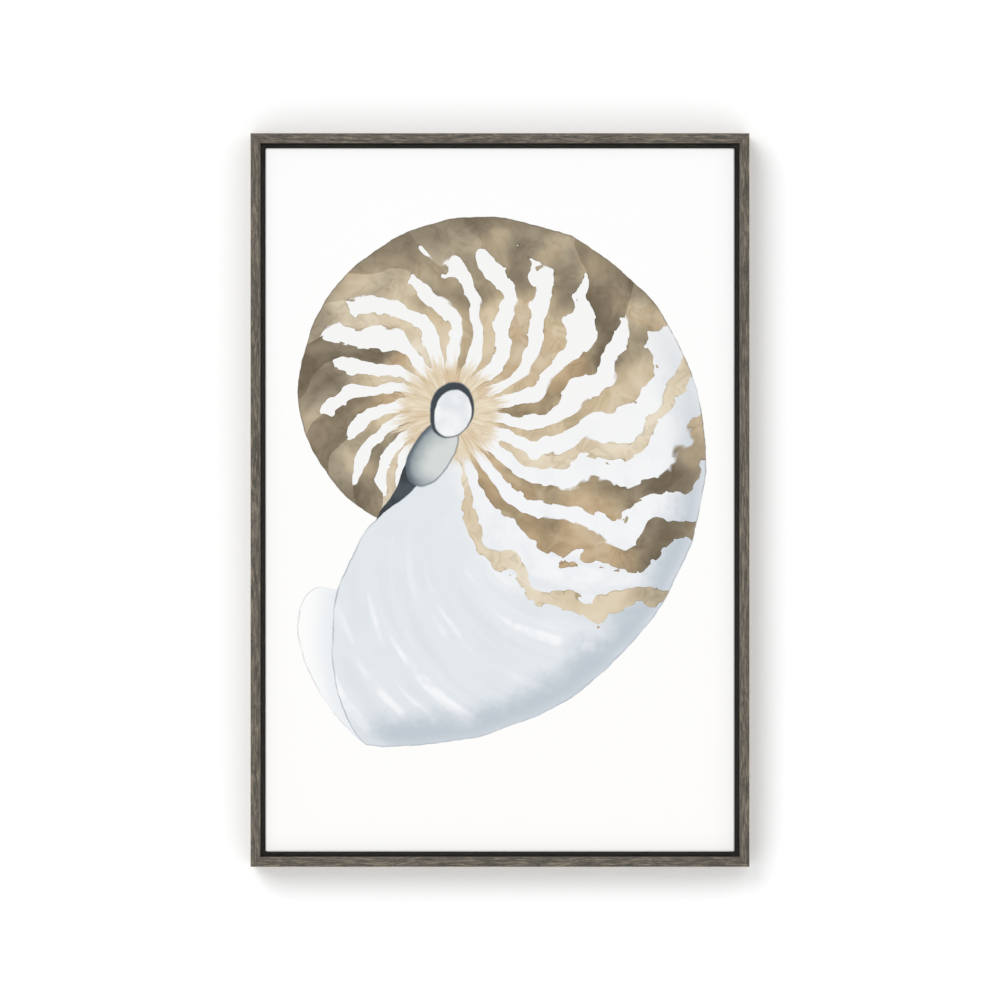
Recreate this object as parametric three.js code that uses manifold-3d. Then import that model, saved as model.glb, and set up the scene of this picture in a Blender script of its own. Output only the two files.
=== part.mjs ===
// A stretched canvas picture in a wooden floater frame, hung from a sawtooth hanger.
//
// Millimetres, +Z up. The picture faces -Y and its back lies against a wall on the +Y side.
// The origin is the hanging point: x = 0 is the picture's middle, y = 0 the frame's back plane,
// and z = 0 the height of the nail under the hanger's middle notch.
//
// The frame is four mitred L-section rails: an outer wall that shows as a thin border, and a
// ledge behind the canvas. The canvas is wrapped round four stretcher bars and a cross brace,
// stands a small reveal clear of the wall all round, and is screwed on through the ledge.

import * as THREE from "three";
import { RoundedBoxGeometry } from "three/addons/geometries/RoundedBoxGeometry.js";
import { mergeVertices } from "three/addons/utils/BufferGeometryUtils.js";
import Module from "manifold-3d";

const wasm = await Module();
wasm.setup();

// ---------------------------------------------------------------- driving dimensions, mm

const INCH = 25.4;
const GAP = 0.3; // left between pieces that touch

const CANVAS_WIDTH = 24 * INCH;
const CANVAS_HEIGHT = 36 * INCH;
const CANVAS_THICKNESS = 0.7; // cloth with its painted ground
const CANVAS_EDGE_RADIUS = 2.5; // where the cloth turns over the bars
const BACK_FOLD = 30; // width of cloth folded onto the back of the bars

const REVEAL = 0.25 * INCH; // open channel between canvas and frame wall
const WALL_THICKNESS = 0.5 * INCH; // the border that shows from the front
const FRAME_DEPTH = 1.75 * INCH;
const LEDGE_THICKNESS = 0.25 * INCH;
const LEDGE_OVERLAP = 0.75 * INCH; // how far the ledge reaches behind the canvas
const CANVAS_RECESS = 0.25 * INCH; // canvas face behind the frame's front edge
const EASED_EDGE = 0.8; // chamfer on the wall's two front edges

const BAR_WIDTH = 1.5 * INCH;
const BAR_BEAD = 6; // raised outer strip that the cloth bears on
const BAR_FALL = 3; // the front face falls away by this much towards the inside
const BRACE_WIDTH = 1.5 * INCH;
const BRACE_SETBACK = 6; // brace front behind the bars' front
const TENON = { length: 15, width: 24, thickness: 10 };

const HANG_BELOW_TOP = 1 * INCH;
const HANGER = { length: 89, height: 15.5, thickness: 1.2, rise: 1.5, bend: 3 };
const HANGER_TAB = 14.5; // flat end that takes a screw
const TOOTH_PITCH = 5;
const TOOTH_DEPTH = 2.5;
const TEETH_EACH_SIDE = 5;
const HANGER_SCREW_HOLE = 1.9;

const CANVAS_SCREW = { shank: 1.75, head: 3.6, headHeight: 2.2, length: 25, point: 3 };
const HANGER_SCREW = { shank: 1.5, head: 3.2, headHeight: 1.7, length: 5.6, point: 1.5 };
const SCREWS_ALONG_WIDTH = [-150, 150];
const SCREWS_ALONG_HEIGHT = [-250, 250];

const V_NAIL = { leg: 4.6, thickness: 0.6, depth: 10, halfAngle: THREE.MathUtils.degToRad(58) };
const V_NAIL_INSET = 7.4; // apex from both outer faces of the corner

const BUMPER = { radius: 5.5, height: 2.6, dome: 0.7, fromSide: 45, fromBottom: 19 };

const ROUND_SIDES = 12; // facets round a screw or hole
const BUMPER_SIDES = 20;

// ---------------------------------------------------------------- worked-out dimensions

const OUTER_WIDTH = CANVAS_WIDTH + 2 * (REVEAL + WALL_THICKNESS);
const OUTER_HEIGHT = CANVAS_HEIGHT + 2 * (REVEAL + WALL_THICKNESS);
const BASE_WIDTH = WALL_THICKNESS + REVEAL + LEDGE_OVERLAP;
const SCREW_INSET = WALL_THICKNESS + REVEAL + LEDGE_OVERLAP / 2;

const FRAME_TOP = HANG_BELOW_TOP;
const FRAME_MIDDLE = FRAME_TOP - OUTER_HEIGHT / 2;

const CANVAS_FRONT = -(FRAME_DEPTH - CANVAS_RECESS);
const CANVAS_BACK = -(LEDGE_THICKNESS + GAP);
const CANVAS_DEPTH = CANVAS_BACK - CANVAS_FRONT;

const CLOTH_AND_GAP = CANVAS_THICKNESS + GAP;
const BARS_WIDTH = CANVAS_WIDTH - 2 * CLOTH_AND_GAP;
const BARS_HEIGHT = CANVAS_HEIGHT - 2 * CLOTH_AND_GAP;
const BARS_FRONT = CANVAS_FRONT + CLOTH_AND_GAP;
const BARS_BACK = CANVAS_BACK - CLOTH_AND_GAP;
const BARS_MIDDLE = (BARS_FRONT + BARS_BACK) / 2;
const BRACE_FRONT = BARS_FRONT + BRACE_SETBACK;
const BRACE_MIDDLE = (BRACE_FRONT + BARS_BACK) / 2;

const MITRE_GAP = (GAP / 2) * Math.SQRT2; // half the joint's gap, measured along a rail

// ---------------------------------------------------------------- materials

const standard = (color, roughness, metalness = 0) =>
  new THREE.MeshStandardMaterial({ color, roughness, metalness });

const GREY_WOOD = standard(0x665f58, 0.62);
const PINE = standard(0xd9bf94, 0.7);
const CLOTH = standard(0xf6f4f0, 0.9);
const ZINC = standard(0xb4b6ba, 0.35, 1);
const STEEL = standard(0x83868b, 0.4, 1);
const BUMPER_RUBBER = standard(0x2c2b2a, 0.8);

// ---------------------------------------------------------------- solids and booleans

/** Turns a closed three.js geometry into a solid, keeping only its merged positions. */
function solid(geometry) {
  const bare = new THREE.BufferGeometry();
  bare.setAttribute("position", geometry.getAttribute("position"));
  if (geometry.index) bare.setIndex(geometry.index);
  const merged = mergeVertices(bare, 1e-4);
  return new wasm.Manifold(
    new wasm.Mesh({
      numProp: 3,
      vertProperties: merged.attributes.position.array,
      triVerts: new Uint32Array(merged.index.array),
    }),
  );
}

/** Turns a solid back into a geometry. */
function geometryOf(body) {
  const mesh = body.getMesh();
  const geometry = new THREE.BufferGeometry();
  geometry.setAttribute("position", new THREE.BufferAttribute(mesh.vertProperties, 3));
  geometry.setIndex(new THREE.BufferAttribute(mesh.triVerts, 1));
  geometry.computeVertexNormals();
  return geometry;
}

/** Takes each cutter away from a body in turn. */
const cut = (body, cutters) => cutters.reduce((rest, cutter) => rest.subtract(cutter), body);

/** A straight extrusion of an outline, set on the given axes: outline x, outline y, depth. */
function prism(points, depth, axes, offset) {
  const shape = new THREE.Shape(points.map(([u, v]) => new THREE.Vector2(u, v)));
  const geometry = new THREE.ExtrudeGeometry(shape, { depth, bevelEnabled: false });
  const basis = new THREE.Matrix4().makeBasis(...axes.map((a) => new THREE.Vector3(...a)));
  return solid(geometry.applyMatrix4(basis.setPosition(...offset)));
}

/** A (y, z) outline run along x, centred on x = 0. */
const alongX = (points, length) =>
  prism(points, length, [[0, 1, 0], [0, 0, 1], [1, 0, 0]], [-length / 2, 0, 0]);

/** An (x, z) outline run towards the front from y = back. */
const towardsFront = (points, back, depth) =>
  prism(points, depth, [[1, 0, 0], [0, 0, 1], [0, -1, 0]], [0, back, 0]);

/** An (x, y) outline run upwards from z = bottom. */
const upwards = (points, bottom, height) =>
  prism(points, height, [[1, 0, 0], [0, 1, 0], [0, 0, 1]], [0, 0, bottom]);

/** A body of revolution round a line parallel to y, from its (radius, y) profile. */
function turned(profile, sides, x = 0, z = 0) {
  const points = profile.map(([r, y]) => new THREE.Vector2(r, y));
  return solid(new THREE.LatheGeometry(points, sides).translate(x, 0, z));
}

/** A plain box between two corners. */
function box(low, high) {
  const size = high.map((value, i) => value - low[i]);
  const centre = high.map((value, i) => (value + low[i]) / 2);
  return solid(new THREE.BoxGeometry(...size).translate(...centre));
}

// ---------------------------------------------------------------- screws

/** A countersunk wood screw's profile, its head's top at y = top and its point to the front. */
function countersunk({ shank, head, headHeight, length, point }, top, room = 0) {
  return [
    [0, top - length - room],
    [shank + room, top - length + point - room],
    [shank + room, top - headHeight],
    [head + room, top],
    [0, top],
  ];
}

/** The hole for a countersunk screw, open past the plane its head sits in. */
function countersunkHole(screw, top, beyond) {
  const profile = countersunk(screw, top, GAP);
  profile.splice(-1, 1, [screw.head + GAP, beyond], [0, beyond]);
  return profile;
}

/** A pan-head screw's profile, with the head's underside at y = seat. */
function panHead({ shank, head, headHeight, length, point }, seat, room = 0) {
  return [
    [0, seat - length - room],
    [shank + room, seat - length + point - room],
    [shank + room, seat],
    [head, seat],
    [head, seat + headHeight * 0.55],
    [head * 0.62, seat + headHeight],
    [0, seat + headHeight],
  ];
}

const SCREW_TOP = -GAP; // heads sit just under the back plane

/** Holes for the canvas screws, for a rail or bar whose outer face is at z = outer. */
const canvasScrewHoles = (places, outer) =>
  places.map((x) =>
    turned(countersunkHole(CANVAS_SCREW, SCREW_TOP, 1), ROUND_SIDES, x, outer - SCREW_INSET),
  );

// ---------------------------------------------------------------- frame rails

/** The L-section, as (y, z) with the outer face on z = 0 and the picture below it. */
const RAIL_SECTION = [
  [0, 0],
  [0, -BASE_WIDTH],
  [-LEDGE_THICKNESS, -BASE_WIDTH],
  [-LEDGE_THICKNESS, -WALL_THICKNESS],
  [-FRAME_DEPTH + EASED_EDGE, -WALL_THICKNESS],
  [-FRAME_DEPTH, -WALL_THICKNESS + EASED_EDGE],
  [-FRAME_DEPTH, -EASED_EDGE],
  [-FRAME_DEPTH + EASED_EDGE, 0],
];

/** The 45 degree ends of a rail or bar, as the trapezium they leave. */
function mitred(length, width, margin = 1) {
  const outer = length / 2 - MITRE_GAP;
  return [
    [-outer - margin, margin],
    [-outer + width + margin, -width - margin],
    [outer - width - margin, -width - margin],
    [outer + margin, margin],
  ];
}

/** The V-shaped outline of a corner nail, its apex on the origin and opening towards +x. */
function vNailOutline({ leg, thickness, halfAngle }, room = 0) {
  const half = thickness / 2 + room;
  const along = [Math.cos(halfAngle), Math.sin(halfAngle)];
  const tip = leg + room;
  const outerApex = -half / Math.sin(halfAngle);
  const innerApex = half / Math.sin(halfAngle);
  const end = (side) => [tip * along[0] - side * half * along[1], tip * along[1] + side * half * along[0]];
  const [outerEnd, innerEnd] = [end(1), end(-1)];
  const mirror = ([x, z]) => [x, -z];
  return [[outerApex, 0], mirror(outerEnd), mirror(innerEnd), [innerApex, 0], innerEnd, outerEnd];
}

/** A corner nail's solid for the corner at (x, z), with its apex inset along the mitre. */
function vNail(x, z, room = 0) {
  const inset = V_NAIL_INSET;
  const towards = Math.atan2(-z, -x);
  const [cos, sin] = [Math.cos(towards), Math.sin(towards)];
  const centre = [x - Math.sign(x) * inset, z - Math.sign(z) * inset];
  const points = vNailOutline(V_NAIL, room).map(([u, v]) => [
    centre[0] + u * cos - v * sin,
    centre[1] + u * sin + v * cos,
  ]);
  const back = room > 0 ? 1 : -GAP;
  return towardsFront(points, back, V_NAIL.depth + room + back + GAP);
}

/** A rail lying along x with its outer face on z = 0, before its corner-nail slots. */
function railBlank(length, screws) {
  const blank = alongX(RAIL_SECTION, length + 2).intersect(
    towardsFront(mitred(length, BASE_WIDTH), 1, FRAME_DEPTH + 2),
  );
  return cut(blank, canvasScrewHoles(screws, 0));
}

/** Half-slots for the corner nails at both ends of a rail of this length. */
const nailSlots = (length) =>
  [-1, 1].map((side) => {
    const diagonal = BASE_WIDTH;
    const nail = vNail(side * diagonal, diagonal, GAP);
    return nail.translate([side * (length / 2 - diagonal), 0, -diagonal]);
  });

/** Two holes for the hanger's screws, in the top rail's own frame. */
const hangerScrewPlaces = [-1, 1].map((side) => side * (HANGER.length - HANGER_TAB) / 2);
const HANGER_SCREW_HEIGHT = HANGER.height / 2 - TOOTH_DEPTH;
const HANGER_SEAT = GAP + HANGER.thickness + GAP; // under the screw heads

const hangerScrewHoles = () =>
  hangerScrewPlaces.map((x) =>
    turned(
      [
        [0, HANGER_SEAT - HANGER_SCREW.length - GAP],
        [HANGER_SCREW.shank + GAP, HANGER_SEAT - HANGER_SCREW.length + HANGER_SCREW.point - GAP],
        [HANGER_SCREW.shank + GAP, 1],
        [0, 1],
      ],
      ROUND_SIDES,
      x,
      HANGER_SCREW_HEIGHT - FRAME_TOP,
    ),
  );

const frameRail = (length, screws, extraCuts = []) =>
  geometryOf(cut(railBlank(length, screws), [...nailSlots(length), ...extraCuts]));

// ---------------------------------------------------------------- stretcher bars and brace

/** The bar's section as (y, z): a raised bead outside, the front falling away inwards. */
const BAR_SECTION = [
  [BARS_BACK, 0],
  [BARS_BACK, -BAR_WIDTH],
  [BARS_FRONT + BAR_FALL, -BAR_WIDTH],
  [BARS_FRONT, -BAR_BEAD],
  [BARS_FRONT, 0],
];

/** A block rounded as the cloth turns over the bars, in a bar's own frame. */
function clothSide(length) {
  const reach = 2 * BAR_WIDTH;
  const depth = BARS_BACK - BARS_FRONT;
  const radius = CANVAS_EDGE_RADIUS - CLOTH_AND_GAP;
  const rounded = new RoundedBoxGeometry(length, depth, reach, 3, radius);
  return solid(rounded.translate(0, BARS_MIDDLE, -reach / 2));
}

/** A brace tenon's slot in the inner face of a side bar. */
function mortise() {
  const { length, width, thickness } = TENON;
  const inner = -BAR_WIDTH;
  return box(
    [-width / 2 - GAP, BRACE_MIDDLE - thickness / 2 - GAP, inner - 1],
    [width / 2 + GAP, BRACE_MIDDLE + thickness / 2 + GAP, inner + length + GAP],
  );
}

function stretcherBar(length, screws, extraCuts = []) {
  const outer = REVEAL + WALL_THICKNESS + CLOTH_AND_GAP;
  const blank = alongX(BAR_SECTION, length + 2)
    .intersect(clothSide(length))
    .intersect(towardsFront(mitred(length, BAR_WIDTH), 1, FRAME_DEPTH));
  return geometryOf(cut(blank, [...canvasScrewHoles(screws, outer), ...extraCuts]));
}

function crossBrace() {
  const half = BARS_WIDTH / 2 - BAR_WIDTH - GAP;
  const body = box([-half, BRACE_FRONT, -BRACE_WIDTH / 2], [half, BARS_BACK, BRACE_WIDTH / 2]);
  const reach = half + TENON.length;
  const tenons = box(
    [-reach, BRACE_MIDDLE - TENON.thickness / 2, -TENON.width / 2],
    [reach, BRACE_MIDDLE + TENON.thickness / 2, TENON.width / 2],
  );
  return geometryOf(body.add(tenons));
}

// ---------------------------------------------------------------- canvas

/** A rounded block of the canvas's outer size, drawn in by the given amount all round. */
function clothBlock(inset) {
  const block = new RoundedBoxGeometry(
    CANVAS_WIDTH - 2 * inset,
    CANVAS_DEPTH - 2 * inset,
    CANVAS_HEIGHT - 2 * inset,
    3,
    CANVAS_EDGE_RADIUS - inset,
  );
  return solid(block.translate(0, (CANVAS_FRONT + CANVAS_BACK) / 2, 0));
}

/** Front sheet, side wraps and back folds as one tray, about the picture's own centre. */
function canvas() {
  const windowX = CANVAS_WIDTH / 2 - BACK_FOLD;
  const windowZ = CANVAS_HEIGHT / 2 - BACK_FOLD;
  const backWindow = box([-windowX, BARS_MIDDLE, -windowZ], [windowX, 1, windowZ]);
  const holeX = OUTER_WIDTH / 2 - SCREW_INSET;
  const holeZ = OUTER_HEIGHT / 2 - SCREW_INSET;
  const places = [
    ...SCREWS_ALONG_WIDTH.flatMap((x) => [[x, holeZ], [x, -holeZ]]),
    ...SCREWS_ALONG_HEIGHT.flatMap((z) => [[holeX, z], [-holeX, z]]),
  ];
  const holes = places.map(([x, z]) =>
    turned(countersunkHole(CANVAS_SCREW, SCREW_TOP, 1), ROUND_SIDES, x, z),
  );
  const tray = clothBlock(0).subtract(clothBlock(CANVAS_THICKNESS));
  return geometryOf(cut(tray, [backWindow, ...holes]));
}

// ---------------------------------------------------------------- hanger and bumpers

/** The strip's outline as (x, z): plain top edge, and notches along the raised middle. */
function hangerOutline() {
  const half = HANGER.length / 2;
  const top = HANGER.height - TOOTH_DEPTH;
  const points = [[half, -TOOTH_DEPTH], [half, top], [-half, top], [-half, -TOOTH_DEPTH]];
  for (let tooth = -TEETH_EACH_SIDE; tooth <= TEETH_EACH_SIDE; tooth += 1) {
    const notch = tooth * TOOTH_PITCH;
    points.push([notch - TOOTH_PITCH / 2, -TOOTH_DEPTH], [notch, 0]);
  }
  points.push([(TEETH_EACH_SIDE + 0.5) * TOOTH_PITCH, -TOOTH_DEPTH]);
  return points;
}

/** The strip seen from above: flat ends, and a middle bent clear of the frame for the nail. */
function hangerProfile() {
  const half = HANGER.length / 2;
  const flat = half - HANGER_TAB;
  const line = [[-half, 0], [-flat, 0], [-flat + HANGER.bend, HANGER.rise],
    [flat - HANGER.bend, HANGER.rise], [flat, 0], [half, 0]];
  const lower = line.map(([x, y]) => [x, y + GAP]);
  const upper = line.map(([x, y]) => [x, y + GAP + HANGER.thickness]);
  return [...lower, ...upper.reverse()];
}

function sawtoothHanger() {
  const strip = upwards(hangerProfile(), -TOOTH_DEPTH - 1, HANGER.height + 2);
  const blank = strip.intersect(towardsFront(hangerOutline(), 10, 20));
  const holes = hangerScrewPlaces.map((x) =>
    turned(
      [[0, -1], [HANGER_SCREW_HOLE, -1], [HANGER_SCREW_HOLE, 5], [0, 5]],
      ROUND_SIDES,
      x,
      HANGER_SCREW_HEIGHT,
    ),
  );
  return geometryOf(cut(blank, holes));
}

function wallBumper() {
  const { radius, height, dome } = BUMPER;
  const profile = [
    [0, GAP],
    [radius, GAP],
    [radius, GAP + height - dome],
    [radius - dome, GAP + height],
    [0, GAP + height],
  ];
  return geometryOf(turned(profile, BUMPER_SIDES));
}

// ---------------------------------------------------------------- assembly

const picture = new THREE.Group();

/** Adds a named mesh to a parent at a place. */
function place(parent, name, geometry, material, x = 0, y = 0, z = 0) {
  const mesh = new THREE.Mesh(geometry, material);
  mesh.name = name;
  mesh.position.set(x, y, z);
  parent.add(mesh);
  return mesh;
}

/** A group whose local +z points outwards across one side of the picture. */
function side(turn, distance) {
  const pivot = new THREE.Group();
  pivot.position.set(0, 0, FRAME_MIDDLE);
  pivot.rotation.y = turn;
  const edge = new THREE.Group();
  edge.position.set(0, 0, distance);
  pivot.add(edge);
  picture.add(pivot);
  return edge;
}

const SIDES = [
  { name: "top", turn: 0, upright: false },
  { name: "right", turn: Math.PI / 2, upright: true },
  { name: "bottom", turn: Math.PI, upright: false },
  { name: "left", turn: -Math.PI / 2, upright: true },
];

let screwCount = 0;
for (const { name, turn, upright } of SIDES) {
  const [along, across] = upright ? [OUTER_HEIGHT, OUTER_WIDTH] : [OUTER_WIDTH, OUTER_HEIGHT];
  const [barLength, barReach] = upright ? [BARS_HEIGHT, BARS_WIDTH] : [BARS_WIDTH, BARS_HEIGHT];
  const screws = upright ? SCREWS_ALONG_HEIGHT : SCREWS_ALONG_WIDTH;
  const railEdge = side(turn, across / 2);
  const barEdge = side(turn, barReach / 2);

  const hangerHoles = name === "top" ? hangerScrewHoles() : [];
  place(railEdge, `frame_rail_${name}`, frameRail(along, screws, hangerHoles), GREY_WOOD);
  const mortises = upright ? [mortise()] : [];
  place(barEdge, `stretcher_bar_${name}`, stretcherBar(barLength, screws, mortises), PINE);

  for (const x of screws) {
    screwCount += 1;
    const screw = geometryOf(turned(countersunk(CANVAS_SCREW, SCREW_TOP), ROUND_SIDES));
    place(railEdge, `canvas_screw_${screwCount}`, screw, ZINC, x, 0, -SCREW_INSET);
  }
}

place(picture, "cross_brace", crossBrace(), PINE, 0, 0, FRAME_MIDDLE);
place(picture, "canvas", canvas(), CLOTH, 0, 0, FRAME_MIDDLE);

const corners = new THREE.Group();
corners.position.set(0, 0, FRAME_MIDDLE);
picture.add(corners);
for (const [vertical, z] of [["top", 1], ["bottom", -1]]) {
  for (const [horizontal, x] of [["left", -1], ["right", 1]]) {
    const nail = geometryOf(vNail(x * BASE_WIDTH, z * BASE_WIDTH));
    const offsetX = x * (OUTER_WIDTH / 2 - BASE_WIDTH);
    const offsetZ = z * (OUTER_HEIGHT / 2 - BASE_WIDTH);
    place(corners, `corner_v_nail_${vertical}_${horizontal}`, nail, STEEL, offsetX, 0, offsetZ);
  }
}

place(picture, "sawtooth_hanger", sawtoothHanger(), STEEL);
["left", "right"].forEach((name, i) => {
  const screw = geometryOf(turned(panHead(HANGER_SCREW, HANGER_SEAT), ROUND_SIDES));
  place(picture, `hanger_screw_${name}`, screw, ZINC, hangerScrewPlaces[i], 0, HANGER_SCREW_HEIGHT);
});

const bumperX = OUTER_WIDTH / 2 - BUMPER.fromSide;
const bumperZ = FRAME_TOP - OUTER_HEIGHT + BUMPER.fromBottom;
[["left", -1], ["right", 1]].forEach(([name, x]) => {
  place(picture, `wall_bumper_${name}`, wallBumper(), BUMPER_RUBBER, x * bumperX, 0, bumperZ);
});

export default picture;
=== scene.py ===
"""A stretched canvas picture in a thin grey-brown floater frame, hung from a sawtooth hanger.

Everything is in metres, +Z up. The picture faces -Y and its back lies against a wall at y > 0.
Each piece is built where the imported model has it, and rides on the one body, "root".
"""

import logging
import math
import random
from dataclasses import dataclass, field
from enum import Enum, IntEnum
from typing import Any, Iterable, Union

import bmesh
import bpy
from bmesh.types import BMEdge, BMesh, BMFace, BMVert
from mathutils import Matrix, Vector


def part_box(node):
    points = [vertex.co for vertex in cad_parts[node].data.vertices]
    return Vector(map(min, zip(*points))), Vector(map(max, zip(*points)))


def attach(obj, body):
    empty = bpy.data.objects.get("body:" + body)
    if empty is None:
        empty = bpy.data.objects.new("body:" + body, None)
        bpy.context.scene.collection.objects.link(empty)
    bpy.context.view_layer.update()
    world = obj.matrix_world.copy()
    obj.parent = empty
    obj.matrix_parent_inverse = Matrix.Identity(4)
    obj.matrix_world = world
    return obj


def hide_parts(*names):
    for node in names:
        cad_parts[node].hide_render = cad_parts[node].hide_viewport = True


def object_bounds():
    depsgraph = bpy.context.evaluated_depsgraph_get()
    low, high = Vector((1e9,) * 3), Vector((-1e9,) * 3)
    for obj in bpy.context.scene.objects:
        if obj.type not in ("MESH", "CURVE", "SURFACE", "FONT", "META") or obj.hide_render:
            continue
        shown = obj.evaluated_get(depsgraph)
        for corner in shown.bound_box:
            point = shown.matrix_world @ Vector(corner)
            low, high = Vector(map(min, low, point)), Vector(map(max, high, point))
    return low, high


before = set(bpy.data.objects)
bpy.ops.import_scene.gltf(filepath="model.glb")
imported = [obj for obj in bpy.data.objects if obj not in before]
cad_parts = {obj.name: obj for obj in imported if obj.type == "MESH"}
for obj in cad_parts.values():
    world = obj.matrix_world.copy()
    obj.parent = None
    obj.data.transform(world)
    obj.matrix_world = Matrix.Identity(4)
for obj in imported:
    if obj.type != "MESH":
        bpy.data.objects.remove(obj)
CAD_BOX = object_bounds()

LOG = logging.getLogger("framed_picture")
BODY = "root"
TO_MM = 1000.0

# The gap between two mitred rails.
MITRE_GAP = 0.00012
# Two places this near are one place, and a cut's vertices this near are joined.
NEAR = 1e-6
CUT_MERGE = 1e-7
# A face whose normal reaches this far along an axis looks along it; below the second, it slants.
FACING = 0.99
SLANTED = 0.97
# A screw hole's facets, and half the square cut round it, in radii of its mouth.
HOLE_SIDES = 24
HOLE_SURROUND = 1.35

Value = Union["Field", float, None]
Colour = Union["Field", str]
Section = tuple[tuple[float, float], ...]


class Grain(Enum):
    """Which way a piece's wood runs."""

    ACROSS = "across"
    UPRIGHT = "upright"


class Side(Enum):
    """One side of the picture, and the turn about Y that brings its local +Z outwards."""

    TOP = 0.0
    RIGHT = math.pi / 2
    BOTTOM = math.pi
    LEFT = -math.pi / 2

    @property
    def word(self) -> str:
        """The side's name in piece names."""
        return self.name.lower()

    @property
    def grain(self) -> Grain:
        """The way the wood of this side runs."""
        return Grain.ACROSS if self in (Side.TOP, Side.BOTTOM) else Grain.UPRIGHT


class ScrewHead(Enum):
    """The two kinds of screw head on the back."""

    COUNTERSUNK = "countersunk"
    PAN = "pan"


class RailFinish(IntEnum):
    """A rail's finishes, in the order of its materials."""

    STAINED = 0
    BLACK = 1
    BARE = 2
    # A painted highlight on the rounded front edges.
    RUBBED = 3


class ClothFinish(IntEnum):
    """The canvas's finishes, in the order of its materials."""

    PAINTED = 0
    PRIMED = 1
    RAW = 2


# ---------------------------------------------------------------- shader helpers


def srgb(code: str) -> tuple[float, float, float, float]:
    """The scene colour of a code of six hex digits.

    Args:
        code: The code, such as "665f58".

    Returns:
        Red, green, blue and alpha, in linear light.
    """
    parts = [int(code[i : i + 2], 16) / 255 for i in (0, 2, 4)]
    linear = [c / 12.92 if c <= 0.04045 else ((c + 0.055) / 1.055) ** 2.4 for c in parts]
    return (*linear, 1.0)


@dataclass(frozen=True)
class Field:
    """A value that varies over a surface, which arithmetic makes nodes from.

    Args:
        shader: The node tree the value lives in.
        socket: The output socket that carries it.
    """

    shader: "Shader"
    socket: bpy.types.NodeSocket

    def __add__(self, other: Value) -> "Field":
        """This value plus another."""
        return self.shader.math("ADD", self, other)

    def __radd__(self, other: Value) -> "Field":
        """Another value plus this one."""
        return self.shader.math("ADD", self, other)

    def __sub__(self, other: Value) -> "Field":
        """This value less another."""
        return self.shader.math("SUBTRACT", self, other)

    def __rsub__(self, other: Value) -> "Field":
        """Another value less this one."""
        return self.shader.math("SUBTRACT", other, self)

    def __mul__(self, other: Value) -> "Field":
        """This value times another."""
        return self.shader.math("MULTIPLY", self, other)

    def __rmul__(self, other: Value) -> "Field":
        """Another value times this one."""
        return self.shader.math("MULTIPLY", self, other)

    def __truediv__(self, other: Value) -> "Field":
        """This value over another."""
        return self.shader.math("DIVIDE", self, other)

    def __pow__(self, other: Value) -> "Field":
        """This value to a power."""
        return self.shader.math("POWER", self, other)


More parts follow.
